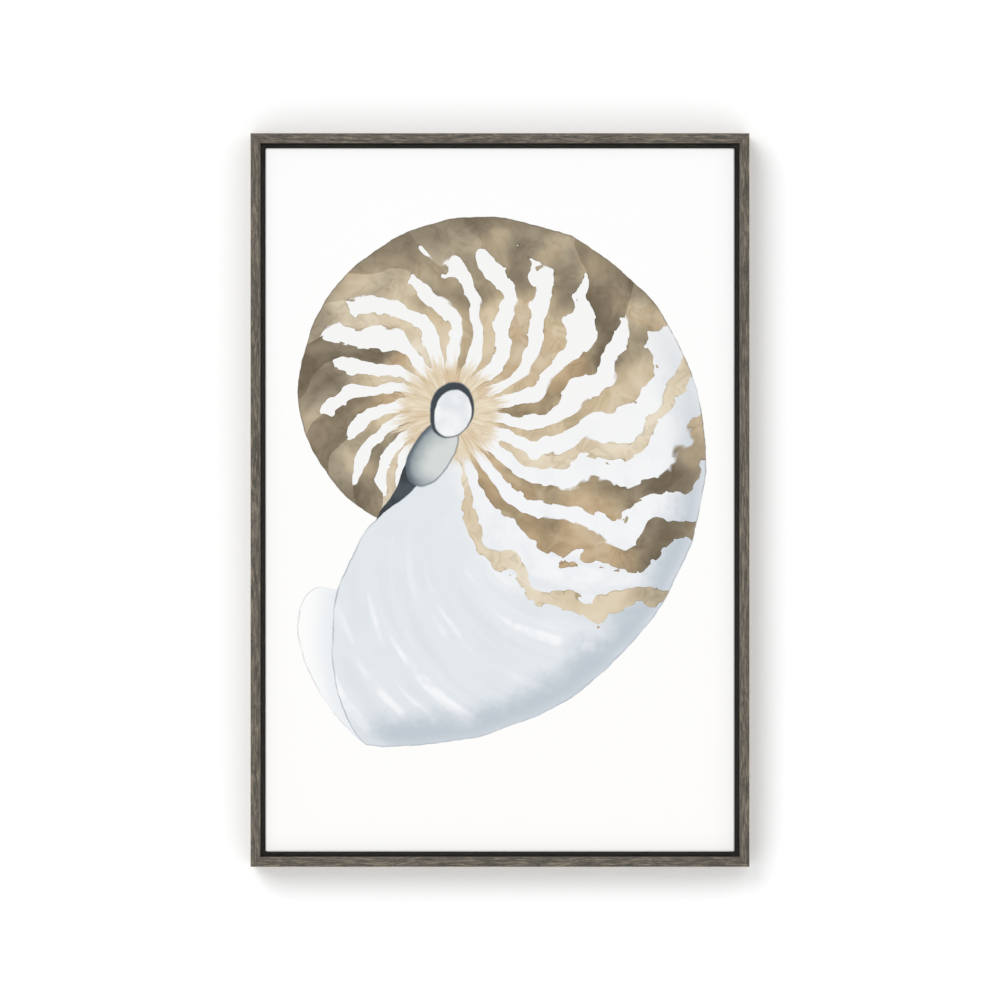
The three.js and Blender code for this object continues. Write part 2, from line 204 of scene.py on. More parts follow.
class Shader:
    """A material's node tree, built by short calls."""

    # How far a noise moves for each step of its seed.
    seed_step = (17.3, -9.1)

    def __init__(self, name: str) -> None:
        """Start a material with an empty tree.

        Args:
            name: The material's name.
        """
        self.material = bpy.data.materials.new(name)
        self.material.use_nodes = True
        self.tree = self.material.node_tree
        self.tree.nodes.clear()

    def node(self, kind: str, **settings: Any) -> bpy.types.Node:
        """Add one node.

        Args:
            kind: The node's type, without its ShaderNode prefix.
            settings: Properties set on it.

        Returns:
            The node.
        """
        made = self.tree.nodes.new("ShaderNode" + kind)
        for key, value in settings.items():
            setattr(made, key, value)
        return made

    def feed(self, socket: bpy.types.NodeSocket, value: Any) -> None:
        """Link a field into a socket, or set the socket to a plain value.

        Args:
            socket: The input socket.
            value: The field or value, or None to leave the socket as it is.
        """
        if isinstance(value, Field):
            self.tree.links.new(value.socket, socket)
        elif value is not None:
            socket.default_value = value

    def place(self) -> tuple[Field, Field, Field]:
        """Read each point's place in the picture's frame.

        Returns:
            Metres across, back and up.
        """
        where = self.node("TexCoord")
        parts = self.node("SeparateXYZ")
        self.tree.links.new(where.outputs["Object"], parts.inputs[0])
        return tuple(Field(self, socket) for socket in parts.outputs)

    def grain_place(self, grain: Grain) -> tuple[Field, Field, Field]:
        """Each point's place along the wood's grain, across it, and from front to back."""
        x, y, z = self.place()
        return (x, z, y) if grain is Grain.ACROSS else (z, x, y)

    def dress(self, colour: Colour, roughness: Value, metallic: float = 0.0, height: Value = None,
              relief: float = 0.0) -> bpy.types.Material:
        """Finish the material.

        Args:
            colour: Its colour.
            roughness: Its roughness.
            metallic: Whether it is metal, 0 or 1.
            height: The height of its relief, 0 to 1.
            relief: How far that height stands up, in metres.

        Returns:
            The material.
        """
        surface, output = self.node("BsdfPrincipled"), self.node("OutputMaterial")
        self.feed(surface.inputs["Base Color"], srgb(colour) if isinstance(colour, str) else colour)
        self.feed(surface.inputs["Roughness"], roughness)
        surface.inputs["Metallic"].default_value = metallic
        if height is not None:
            bump = self.node("Bump")
            bump.inputs["Distance"].default_value = relief
            self.feed(bump.inputs["Height"], height)
            self.tree.links.new(bump.outputs["Normal"], surface.inputs["Normal"])
        self.tree.links.new(surface.outputs[0], output.inputs["Surface"])
        return self.material

    def math(self, operation: str, a: Value, b: Value = None, clamp: bool = False) -> "Field":
        """One Math node.

        Args:
            operation: Its operation.
            a: The first value.
            b: The second value, where it takes two.
            clamp: Whether the result is held to 0..1.

        Returns:
            The result.
        """
        made = self.node("Math", operation=operation, use_clamp=clamp)
        self.feed(made.inputs[0], a)
        self.feed(made.inputs[1], b)
        return Field(self, made.outputs[0])

    def ramp(self, value: Value, start: float, end: float, low: float = 0.0, high: float = 1.0,
             straight: bool = False) -> "Field":
        """A value's passage from start to end, as low to high.

        Args:
            value: The value followed.
            start: Where the passage begins; it may be above end.
            end: Where the passage is over.
            low: The result up to start.
            high: The result from end on.
            straight: Whether the passage is a straight line rather than an S.

        Returns:
            The result.
        """
        made = self.node("MapRange", interpolation_type="LINEAR" if straight else "SMOOTHSTEP")
        for socket, number in zip(made.inputs, (value, start, end, low, high)):
            self.feed(socket, number)
        return Field(self, made.outputs[0])

    def edge(self, inside: Field, width: float) -> "Field":
        """Coverage of a shape: 0 outside and 1 inside, over an edge of this width."""
        return self.math("ADD", inside * (1.0 / width), 0.5, clamp=True)

    def line(self, away: Field, width: float) -> "Field":
        """Coverage of a soft line of this half-width, from the distance to its middle."""
        return self.math("EXPONENT", away * away * (-1.0 / (width * width)))

    def vector(self, x: Value, y: Value, z: Value = 0.0) -> "Field":
        """Join three values.

        Args:
            x: The first value.
            y: The second value.
            z: The third value, or None to leave it at 0.

        Returns:
            The vector.
        """
        made = self.node("CombineXYZ")
        for socket, number in zip(made.inputs, (x, y, z)):
            self.feed(socket, number)
        return Field(self, made.outputs[0])

    def noise(self, *place: "Field", size: Union[float, tuple[float, ...]] = 1.0, seed: float = 0.0,
              detail: float = 2.0, roughness: float = 0.5, distortion: float = 0.0) -> "Field":
        """Smooth noise of about 0.3 to 0.7.

        Args:
            place: Two coordinates for flat noise, or three.
            size: The blobs' size, or their size along each coordinate.
            seed: Moves the pattern, so that two of them differ.
            detail: Octaves of finer noise on top.
            roughness: How strong the finer ones are.
            distortion: How far the noise folds over itself.

        Returns:
            The noise.
        """
        sizes = size if isinstance(size, tuple) else (size,) * len(place)
        x, y, *z = (part / length for part, length in zip(place, sizes))
        made = self.node("TexNoise", noise_dimensions="3D" if z else "2D")
        shifted = self.vector(x + seed * self.seed_step[0], y + seed * self.seed_step[1], *z)
        self.feed(made.inputs["Vector"], shifted)
        made.inputs["Scale"].default_value = 1.0
        made.inputs["Detail"].default_value = detail
        made.inputs["Roughness"].default_value = roughness
        made.inputs["Distortion"].default_value = distortion
        return Field(self, made.outputs[0])

    def dabs(self, x: Value, y: Value) -> "Field":
        """Lay round dabs side by side over the sheet.

        Args:
            x: Across, in dabs.
            y: Up, in dabs.

        Returns:
            The distance from the nearest dab's middle, in dabs.
        """
        made = self.node("TexVoronoi", voronoi_dimensions="2D", feature="F1")
        self.feed(made.inputs["Vector"], self.vector(x, y))
        made.inputs["Scale"].default_value = 1.0
        return Field(self, made.outputs["Distance"])

    def pick(self, index: Field) -> "Field":
        """Draw a fixed random number for each whole number.

        Args:
            index: The value whose whole part is drawn for.

        Returns:
            The number, in 0..1.
        """
        made = self.node("TexWhiteNoise", noise_dimensions="1D")
        self.feed(made.inputs["W"], self.math("FLOOR", index))
        return Field(self, made.outputs[0])

    def curve(self, value: Field, points: tuple[tuple[float, float], ...]) -> "Field":
        """Read a smooth curve.

        Args:
            value: Where it is read, in 0..1.
            points: The points it runs through, from left to right.

        Returns:
            The curve's height there.
        """
        made = self.node("FloatCurve")
        drawn = made.mapping.curves[0]
        drawn.points[0].location = points[0]
        drawn.points[1].location = points[-1]
        for point in points[1:-1]:
            drawn.points.new(*point)
        made.mapping.update()
        self.feed(made.inputs["Value"], value)
        return Field(self, made.outputs[0])

    def blend(self, share: Value, under: Any, over: Any, mode: str = "MIX") -> "Field":
        """One colour laid over another.

        Args:
            share: How much of it is laid on, 0 to 1.
            under: The colour below, a field or a code of six hex digits.
            over: The colour laid on, a field or a code.
            mode: The blend mode.

        Returns:
            The colour.
        """
        made = self.node("Mix", data_type="RGBA", blend_type=mode)
        self.feed(made.inputs[0], share)
        for socket, colour in ((made.inputs[6], under), (made.inputs[7], over)):
            self.feed(socket, srgb(colour) if isinstance(colour, str) else colour)
        return Field(self, made.outputs[2])


@dataclass(frozen=True)
class Spiral:
    """The shell's own coordinates at each point of the sheet.

    Args:
        x: Across the sheet, in millimetres from its middle.
        z: Up the sheet, in millimetres from its middle.
        dx: Across, from the shell's eye, with the hand's wobble.
        dz: Up, from the shell's eye, with the hand's wobble.
        radius: Distance from the eye.
        turn: Radians round from the aperture, back along the coil.
        rise: Share of the way out, 0 at the eye and 1 at the outline.
        inside: Millimetres inside the outline.
        growth: The turn, swept back along the shell's growth lines.
        along: Millimetres along the aperture from the eye.
        ahead: Millimetres ahead of the aperture's straight line.
        mouth: Millimetres behind the aperture's bulging edge.
        front: Coverage of the part between that line and that edge.
    """

    x: Field
    z: Field
    dx: Field
    dz: Field
    radius: Field
    turn: Field
    rise: Field
    inside: Field
    growth: Field
    along: Field
    ahead: Field
    mouth: Field
    front: Field


@dataclass(frozen=True)
class Oval:
    """A tilted oval near the shell's eye.

    Args:
        centre: Its middle, in millimetres from the eye.
        tilt: Its turn, in degrees.
        half: Its half width and half height.
    """

    centre: tuple[float, float]
    tilt: float
    half: tuple[float, float]

    def reading(self, s: Shader, p: Spiral) -> tuple[Field, Field, Field]:
        """Work out where each point lies in the oval.

        Args:
            s: The sheet's shader.
            p: The shell's coordinates.

        Returns:
            Millimetres inside it, and the place across and up in its own axes.
        """
        cos, sin = math.cos(math.radians(self.tilt)), math.sin(math.radians(self.tilt))
        dx, dz = p.dx - self.centre[0], p.dz - self.centre[1]
        across, up = dx * cos + dz * sin, dz * cos - dx * sin
        grown = s.math("SQRT", across * across * self.half[0] ** -2 + up * up * self.half[1] ** -2)
        return (1.0 - grown) * min(self.half), across, up


@dataclass(frozen=True)
class ShellStudy:
    """A loose watercolour of a nautilus: a logarithmic coil with brown flames. Lengths are in millimetres.

    Args:
        eye: The middle of the coil, from the sheet's middle.
        reach: The radius at the aperture.
        widening: How many times wider the coil grows in one turn.
        aperture: Direction of the aperture from the eye, in degrees.
        bulge: How far the aperture's edge stands ahead of its straight line.
        far_lip: How far the far lip stands ahead of it.
        flames: Brown flames in one turn.
        sweep: How far the growth lines lean back at the outline, in radians.
        dab: Width of the brush's dabs along the flames' rough edges.
        film: Where the dark film begins, is widest and ends along the aperture.
        film_width: Its greatest width.
        saddle: The grey saddle below the plug.
        plug: The pearly plug over the eye.
        bulge_shape: The bulge along the aperture, both in shares of their greatest.
        lip_shape: The far lip along it, in the same way.
        lip_start: Where the far lip begins, in shares of the reach.
    """

    eye: tuple[float, float] = (-66.0, 112.0)
    reach: float = 446.0
    widening: float = 2.9
    aperture: float = -104.0
    bulge: float = 84.0
    far_lip: float = 126.0
    flames: float = 21.0
    sweep: float = 0.95
    dab: float = 19.0
    film: tuple[float, float, float] = (70.0, 84.0, 158.0)
    film_width: float = 30.0
    saddle: Oval = Oval((-21.0, -52.0), -30.0, (27.0, 46.0))
    plug: Oval = Oval((2.0, 4.0), -16.0, (28.0, 38.0))
    bulge_shape: Section = ((0.0, 0.0), (0.13, 0.04), (0.22, 0.20), (0.34, 0.64), (0.44, 0.88),
                            (0.57, 1.0), (0.74, 0.88), (0.90, 0.50), (1.0, 0.0))
    lip_shape: Section = ((0.0, 0.0), (0.54, 0.0), (0.575, 0.70), (0.60, 0.93), (0.66, 1.0),
                          (0.78, 0.86), (0.92, 0.42), (1.0, 0.0))
    lip_start: float = 0.545

    def spiral(self, s: Shader, x: Field, z: Field) -> Spiral:
        """Work out the shell's coordinates.

        Args:
            s: The sheet's shader.
            x: Millimetres across from the sheet's middle.
            z: Millimetres up from the sheet's middle.

        Returns:
            The coordinates.
        """
        shifted = []
        for number, (place, centre) in enumerate(((x, self.eye[0]), (z, self.eye[1]))):
            slow = s.noise(x, z, size=75.0, seed=1.0 + number, detail=1.0)
            quick = s.noise(x, z, size=11.0, seed=3.0 + number)
            shifted.append(place - centre + (slow - 0.5) * 9.0 + (quick - 0.5) * 1.8)
        dx, dz = shifted
        radius = s.math("SQRT", dx * dx + dz * dz)
        bearing = s.math("ARCTAN2", dz, dx) - math.radians(self.aperture)
        along = radius * s.math("COSINE", bearing)
        ahead = radius * s.math("SINE", bearing) * -1.0
        mouth = s.curve(along / self.reach, self.bulge_shape) * self.bulge - ahead
        front = s.edge(mouth, 0.6) * s.edge(ahead + 0.4, 0.3) * s.edge(self.reach - along, 0.6)
        front = front * s.edge(along - 34.0, 4.0)
        begun = front * s.math("GREATER_THAN", ahead, 0.0)
        turn = s.math("FLOORED_MODULO", bearing, math.tau) - begun * math.tau
        outline = s.math("EXPONENT", turn * (-math.log(self.widening) / math.tau)) * self.reach
        rise = radius / outline
        lean = s.math("MAXIMUM", rise - 0.15, 0.0) ** 1.5 * self.sweep
        return Spiral(x, z, dx, dz, radius, turn, rise, inside=outline - radius, growth=turn - lean,
                      along=along, ahead=ahead, mouth=mouth, front=front)

    def flame_cover(self, s: Shader, p: Spiral) -> tuple[Field, Field, Field]:
        """Where the brown flames lie.

        Args:
            s: The sheet's shader.
            p: The shell's coordinates.

        Returns:
            Their coverage, how deep each point is inside one, and each flame's own number.
        """
        sway = s.noise(p.x, p.z, size=70.0, seed=10.0, detail=1.0)
        lumps = s.noise(p.x, p.z, size=12.0, seed=9.0, detail=1.0)
        nibbles = s.noise(p.x, p.z, size=4.5, seed=15.0, detail=1.0)
        shove = (nibbles - 0.5) * 0.16
        dabs = 0.42 - s.dabs(p.x / self.dab + shove, p.z / self.dab - shove)
        dabs = s.math("MINIMUM", dabs, 0.2)
        broad = s.noise(p.x, p.z, size=90.0, seed=11.0, detail=1.0)
        count = p.growth * (self.flames / math.tau) + (sway - 0.5) * 1.1
        angle = count * math.tau
        wave = s.math("SINE", angle)
        rising = s.math("COSINE", angle)
        gap_pick = s.pick(count - 0.25)
        flame_pick = s.pick(count + 0.25)
        old = s.ramp(p.turn * (180.0 / math.pi), 95.0, 170.0, straight=True)
        outer = p.rise + (gap_pick - 0.5) * 0.22 + (broad - 0.5) * 0.35
        band = s.ramp(outer, 0.79, 1.02, straight=True) ** 1.2
        cover = (
            band * (old * 3.6)
            + old * 0.1
            - 0.12
            + (broad - 0.5) * 0.5
            + (flame_pick - 0.5) * 0.45
            - s.ramp(p.growth * (180.0 / math.pi), 21.0, -6.0) * 2.6
            - s.ramp(p.radius, 110.0, 45.0) * 0.7
        )
        base = wave + cover
        rough = (lumps - 0.5) * 0.8 + dabs * s.ramp(rising, -0.5, 0.5, 1.7, 3.2)
        ink = base + rough * s.ramp(base, -0.36, -0.04) * s.ramp(base, 0.55, 0.12)
        feather = s.ramp(rising, 0.1, -0.8) * s.ramp(broad, 0.47, 0.6) * 0.5 + 0.06
        coverage = s.math("ADD", ink / feather, 0.5, clamp=True) * s.ramp(p.radius, 36.0, 50.0)
        return coverage, ink, flame_pick

    def pigment(
        self, s: Shader, p: Spiral, ink: Field, flame_pick: Field, cloud: Field, bloom: Field
    ) -> Field:
        """The colour of the flames.

        Args:
            s: The sheet's shader.
            p: The shell's coordinates.
            ink: How deep each point is inside a flame.
            flame_pick: Each flame's own number.
            cloud: Slow drifts of water in the wash.
            bloom: Where a wash dried unevenly.

        Returns:
            The colour.
        """
        old = s.ramp(p.turn, 1.6, 4.4, straight=True)
        pool = s.noise(p.x, p.z, size=85.0, seed=17.0, detail=1.0)
        drift = (pool - 0.5) * 0.9 + (cloud - 0.5) * 0.35
        olive = s.ramp(p.rise + old * 0.3 + drift + (flame_pick - 0.5) * 0.4, 0.70, 1.14)
        colour = s.blend(olive, "d2bf9e", "9e927b")
        ochre = s.ramp(0.5 - drift + (bloom - 0.5) * 0.3 + (flame_pick - 0.5) * 0.3, 0.50, 0.70)
        colour = s.blend(ochre * (1.0 - olive * 0.8) * 0.8, colour, "b99f7a")
        fibres = s.noise(p.growth * 9.0, p.rise * 2.2, seed=14.0, detail=3.0, roughness=0.6)
        water = drift + (bloom - 0.5) * 0.35 + (fibres - 0.5) * 0.3 + (flame_pick - 0.5) * 0.6
        water = water + s.ramp(p.inside, 42.0, 3.0) * old * 0.16
        deeper = s.blend(1.0, colour, "a09684", "MULTIPLY")
        colour = s.blend(s.ramp(water, 0.03, 0.46, straight=True) * 0.88, colour, deeper)
        thinned = s.ramp(water, 0.04, -0.46, straight=True) * (0.84 - olive * 0.56)
        colour = s.blend(thinned, colour, "e9dfcb")
        tide = s.math("FRACT", bloom * 4.3 + cloud * 1.2)
        tide = s.ramp(tide, 0.45, 0.97, straight=True) * s.ramp(tide, 1.0, 0.975)
        tide = tide * s.ramp(cloud, 0.40, 0.55)
        rim = s.ramp(ink, 0.34, 0.03) * s.ramp(bloom, 0.38, 0.56)
        edged = s.math("MINIMUM", rim * 0.6 + tide * 0.26, 1.0)
        return s.blend(edged, colour, s.blend(1.0, colour, "b0a38c", "MULTIPLY"))

    def bare_shell(self, s: Shader, p: Spiral, cloud: Field) -> Field:
        """The pale shell between the flames and round the body chamber.

        Args:
            s: The sheet's shader.
            p: The shell's coordinates.
            cloud: Slow drifts of water in the wash.

        Returns:
            The colour.
        """
        young = s.ramp(p.growth, 2.0, 0.5)
        fresh = s.ramp(p.growth + (cloud - 0.5) * 0.9, 0.70, 0.0)
        colour = s.blend(young, "f4f4f3", s.blend(fresh, "f2f3f5", "e1e6ea"))
        lit = s.ramp(p.rise, 0.30, 0.70) * s.ramp(p.growth, 0.9, 0.4)
        streaks = s.noise(p.growth * 12.0, p.rise * 2.4, seed=12.0, detail=1.0)
        colour = s.blend(s.ramp(streaks, 0.46, 0.28) * lit * 0.35, colour, "d5dbe1")
        damp = s.noise(p.x, p.z, size=9.0, seed=16.0, detail=3.0, roughness=0.6)
        colour = s.blend(s.ramp(cloud + (damp - 0.5) * 0.35, 0.47, 0.70) * young * 0.32, colour, "dbe0e5")
        glint = s.ramp(streaks, 0.54, 0.70) * s.ramp(cloud, 0.36, 0.58)
        colour = s.blend(glint * lit * 0.9, colour, "f5f6f8")
        turning = s.ramp(p.inside + (cloud - 0.5) * 50.0 + (damp - 0.5) * 16.0, 60.0, 14.0) * young
        turning = turning * s.ramp(p.mouth, -10.0, 60.0) * s.ramp(p.inside, -4.0, 16.0, 0.55, 0.9)
        return s.blend(turning, colour, "b9c3cc")

    def halo(self, s: Shader, p: Spiral, shell: Field, cloud: Field) -> Field:
        """Fine sandy strokes that ring the eye.

        Args:
            s: The sheet's shader.
            p: The shell's coordinates.
            shell: The colour so far.
            cloud: Slow drifts of water in the wash.

        Returns:
            The colour with the strokes on it.
        """
        spin = 15.0
        hairs = s.noise(p.dx / p.radius * spin, p.dz / p.radius * spin, p.radius * 0.016,
                        detail=5.0, roughness=0.8)
        cover = s.ramp((hairs - 0.5) * 105.0 + 68.0 - p.radius, -7.0, 12.0)
        colour = s.blend(s.ramp(hairs, 0.36, 0.64), "cdb48a", "ecdfc6")
        colour = s.blend(s.ramp(cloud, 0.5, 0.66) * 0.5, colour, "cba97b")
        return s.blend(cover * 0.92, shell, colour)

    def umbilicus(self, s: Shader, p: Spiral, sheet: Field, cloud: Field) -> Field:
        """The dark film, the grey saddle and the pearly plug at the eye.

        Args:
            s: The sheet's shader.
            p: The shell's coordinates.
            sheet: The colour so far.
            cloud: Slow drifts of water in the wash.

        Returns:
            The colour with the eye on it.
        """
        start, widest, end = self.film
        width = s.ramp(p.along, widest, end, self.film_width, 0.0, straight=True)
        film = s.edge(p.mouth * -1.0, 0.7) * s.edge(p.mouth + width, 0.7) * s.edge(p.along - start, 1.0)
        film = film * s.edge(end - p.along, 1.0) * s.edge(p.ahead, 0.7)
        sheet = s.blend(film, sheet, s.blend(s.ramp(cloud, 0.4, 0.62), "232a30", "3e484f"))

        saddle, across, up = self.saddle.reading(s, p)
        grey = s.blend(s.ramp(across + (cloud - 0.5) * 30.0, -24.0, 12.0), "7d8a92", "d3d7d5")
        grey = s.blend(s.ramp(up, -18.0, -44.0) * 0.75, grey, "8b979f")
        grey = s.blend(s.ramp(saddle, 8.0, 0.0) * s.ramp(across, 14.0, -8.0) * 0.85, grey, "434d56")
        sheet = s.blend(s.edge(saddle, 0.8), sheet, grey)
        sheet = s.blend(s.line(saddle, 0.9) * 0.75, sheet, "5b6771")

        plug, across, up = self.plug.reading(s, p)
        pearl = s.blend(s.ramp(cloud, 0.38, 0.66), "f3f4f5", "dfe3e7")
        pearl = s.blend(s.ramp(plug + across * 0.10 - up * 0.09, 6.0, 3.8), pearl, "2f3841")
        sheet = s.blend(s.edge(plug, 0.8), sheet, pearl)
        return s.blend(s.line(plug, 0.9) * 0.6, sheet, "525d67")

    def paint(self, s: Shader, x: Field, z: Field) -> Field:
        """Paint the whole sheet.

        Args:
            s: The sheet's shader.
            x: Millimetres across from the sheet's middle.
            z: Millimetres up from the sheet's middle.

        Returns:
            The sheet's colour.
        """
        p = self.spiral(s, x, z)
        cloud = s.noise(x, z, size=52.0, seed=5.0, detail=3.0, roughness=0.5)
        bloom = s.noise(x, z, size=34.0, seed=7.0, detail=2.0, roughness=0.5, distortion=0.4)
        broken = s.noise(x, z, size=24.0, seed=13.0, detail=3.0)

        coverage, ink, flame_pick = self.flame_cover(s, p)
        brown = self.pigment(s, p, ink, flame_pick, cloud, bloom)
        shell = s.blend(coverage, self.bare_shell(s, p, cloud), brown)
        shell = self.halo(s, p, shell, cloud)
        pencil = s.blend(s.ramp(p.turn, 2.2, 1.0), "6b6150", "a1abb6")
        shell = s.blend(s.line(p.inside - 0.5, 1.0) * s.ramp(broken, 0.35, 0.6, 0.25, 0.8), shell, pencil)

        sheet = s.blend(s.ramp(z, -457.0, 457.0, straight=True), "fbfaf8", "fdfdfd")
        lip = s.curve(p.along / self.reach, self.lip_shape) * self.far_lip - p.ahead
        before_end = self.reach - p.along
        within = s.edge(p.along - self.lip_start * self.reach, 0.8) * s.edge(before_end, 0.8)
        within = within * s.edge(p.ahead, 0.6)
        lining = s.blend(s.ramp(p.mouth, -40.0, 0.0), "fafaf9", "e9edf1")
        sheet = s.blend(s.edge(lip, 0.7) * within, sheet, lining)
        lip_line = s.line(lip, 0.8) * within
        sheet = s.blend(lip_line * s.ramp(broken, 0.35, 0.6, 0.25, 0.65), sheet, "aeb3bb")
        sheet = s.blend(s.edge(p.inside, 0.7) * (1.0 - p.front), sheet, shell)
        sheet = s.blend(p.front, sheet, shell)
        rim = s.line(p.mouth, 0.9) * s.edge(p.ahead, 1.0)
        rim = rim * s.edge(p.along - 88.0, 8.0) * s.edge(before_end, 1.0)
        sheet = s.blend(rim * s.ramp(broken, 0.35, 0.6, 0.3, 0.8), sheet, "929eaa")
        return self.umbilicus(s, p, sheet, cloud)


# ---------------------------------------------------------------- finishes


@dataclass(frozen=True)
class StainedWood:
    """Grey-brown stained wood, brushed along the grain; its paler finish for the front edges is a painted
    highlight.

    Args:
        grain: Which way the wood runs.
        rubbed: Whether this is the paler finish of the front edges, a painted highlight.
    """

    grain: Grain
    rubbed: bool = False

    def material(self) -> bpy.types.Material:
        """Make the finish.

        Returns:
            The material.
        """
        s = Shader(f"grey_wood_{self.grain.value}" + ("_rubbed" if self.rubbed else ""))
        along, across, deep = s.grain_place(self.grain)
        wander = s.noise(along, across, deep, size=(0.11, 0.05, 0.05), seed=2.0, detail=1.0)
        drift = (wander - 0.5) * 0.016
        pores = s.noise(along, across, deep, size=(0.010, 0.0006, 0.0006), seed=3.0, roughness=0.6)
        waved = (along, across + drift, deep + drift)
        figure = s.noise(*waved, size=(0.026, 0.0020, 0.0020), seed=1.0, detail=3.0, roughness=0.65)
        tone = s.noise(*waved, size=(0.060, 0.0070, 0.0070), seed=4.0)
        fine = s.noise(*waved, size=(0.007, 0.00028, 0.00028), seed=8.0, detail=1.0)
        colour = s.blend(s.ramp(tone, 0.36, 0.64), "4d483a", "645a50")
        colour = s.blend(s.ramp(figure, 0.50, 0.65), colour, "857a6a")
        colour = s.blend(s.ramp(figure, 0.51, 0.37), colour, "3b372d")
        colour = s.blend(s.ramp(pores, 0.50, 0.34) * 0.40, colour, "2f2c26")
        colour = s.blend(s.ramp(fine, 0.52, 0.62) * 0.55, colour, "2a2721")
        colour = s.blend(s.ramp(fine, 0.46, 0.36) * 0.30, colour, "8d8377")
        # Painted highlight: the rounded front edges get paler flecks that stand in for the light they
        # catch.
        if self.rubbed:
            colour = s.blend(s.ramp(pores, 0.42, 0.60) * 0.35, colour, "8a7f74")
        roughness = s.ramp(figure, 0.3, 0.7, 0.52, 0.68)
        return s.dress(colour, roughness, height=pores * 0.4 + figure * 0.3 - fine * 0.3, relief=0.00014)


@dataclass(frozen=True)
class BlackPaint:
    """Matt black paint brushed inside the frame's channel, with painted light that turns it paler towards
    the channel's floor.

    Args:
        grain: Which way the wood under it runs.
        lip: The y of the channel's front.
        floor: The y of the channel's floor.
    """

    grain: Grain
    lip: float
    floor: float

    def material(self) -> bpy.types.Material:
        """Make the finish.

        Returns:
            The material.
        """
        s = Shader(f"black_paint_{self.grain.value}")
        along, across, deep = s.grain_place(self.grain)
        strokes = s.noise(along, across, deep, size=(0.03, 0.0011, 0.0011), seed=6.0, detail=2.0)
        floor_light_wobble = s.noise(along, across, deep, size=(0.02, 0.012, 0.012), seed=7.0, detail=4.0, roughness=0.65)
        colour = s.blend(s.ramp(strokes, 0.4, 0.65), "312f2c", "393734")
        # Painted light: the black turns paler towards the channel's floor, so the recessed floor reads as
        # lit.
        painted_floor_light = s.ramp(deep + (floor_light_wobble - 0.5) * 0.02, self.lip, self.floor, straight=True)
        colour = s.blend(painted_floor_light * 0.9, colour, "827e77")
        return s.dress(colour, s.ramp(strokes, 0.3, 0.7, 0.62, 0.78), height=strokes, relief=0.00008)


@dataclass(frozen=True)
class BareWood:
    """Planed wood left bare: growth lines, pores and a little handling dirt.

    Args:
        name: The finish's name.
        grain: Which way the wood runs.
        early: The pale wood's colour.
        late: The growth lines' colour.
        spacing: Distance between growth lines, in metres.
    """

    name: str
    grain: Grain
    early: str
    late: str
    spacing: float

    def material(self) -> bpy.types.Material:
        """Make the finish.

        Returns:
            The material.
        """
        s = Shader(f"{self.name}_{self.grain.value}")
        along, across, deep = s.grain_place(self.grain)
        wander = s.noise(along, across, deep, size=(0.16, 0.06, 0.06), seed=11.0, detail=2.0)
        rings = (across + deep * 0.6 + (wander - 0.5) * 0.03) / self.spacing
        spread = s.noise(along, across, deep, size=(0.3, 0.1, 0.1), seed=12.0) * 3.0
        ring = s.math("FRACT", rings + spread)
        line = s.ramp(ring, 0.35, 0.92) * s.ramp(ring, 1.0, 0.93)
        fibres = s.noise(along, across, deep, size=(0.02, 0.0009, 0.0009), seed=13.0, detail=3.0,
                         roughness=0.6)
        patches = s.noise(along, across, deep, size=(0.12, 0.03, 0.03), seed=14.0, detail=2.0)
        colour = s.blend(line * 0.65, self.early, self.late)
        colour = s.blend(s.ramp(fibres, 0.52, 0.32) * 0.35, colour, self.late)
        colour = s.blend(s.ramp(patches, 0.50, 0.72) * 0.25, colour, "8f7a5c")
        return s.dress(colour, s.ramp(fibres, 0.3, 0.7, 0.58, 0.74), height=fibres * 0.7 + line * 0.3,
                       relief=0.00010)


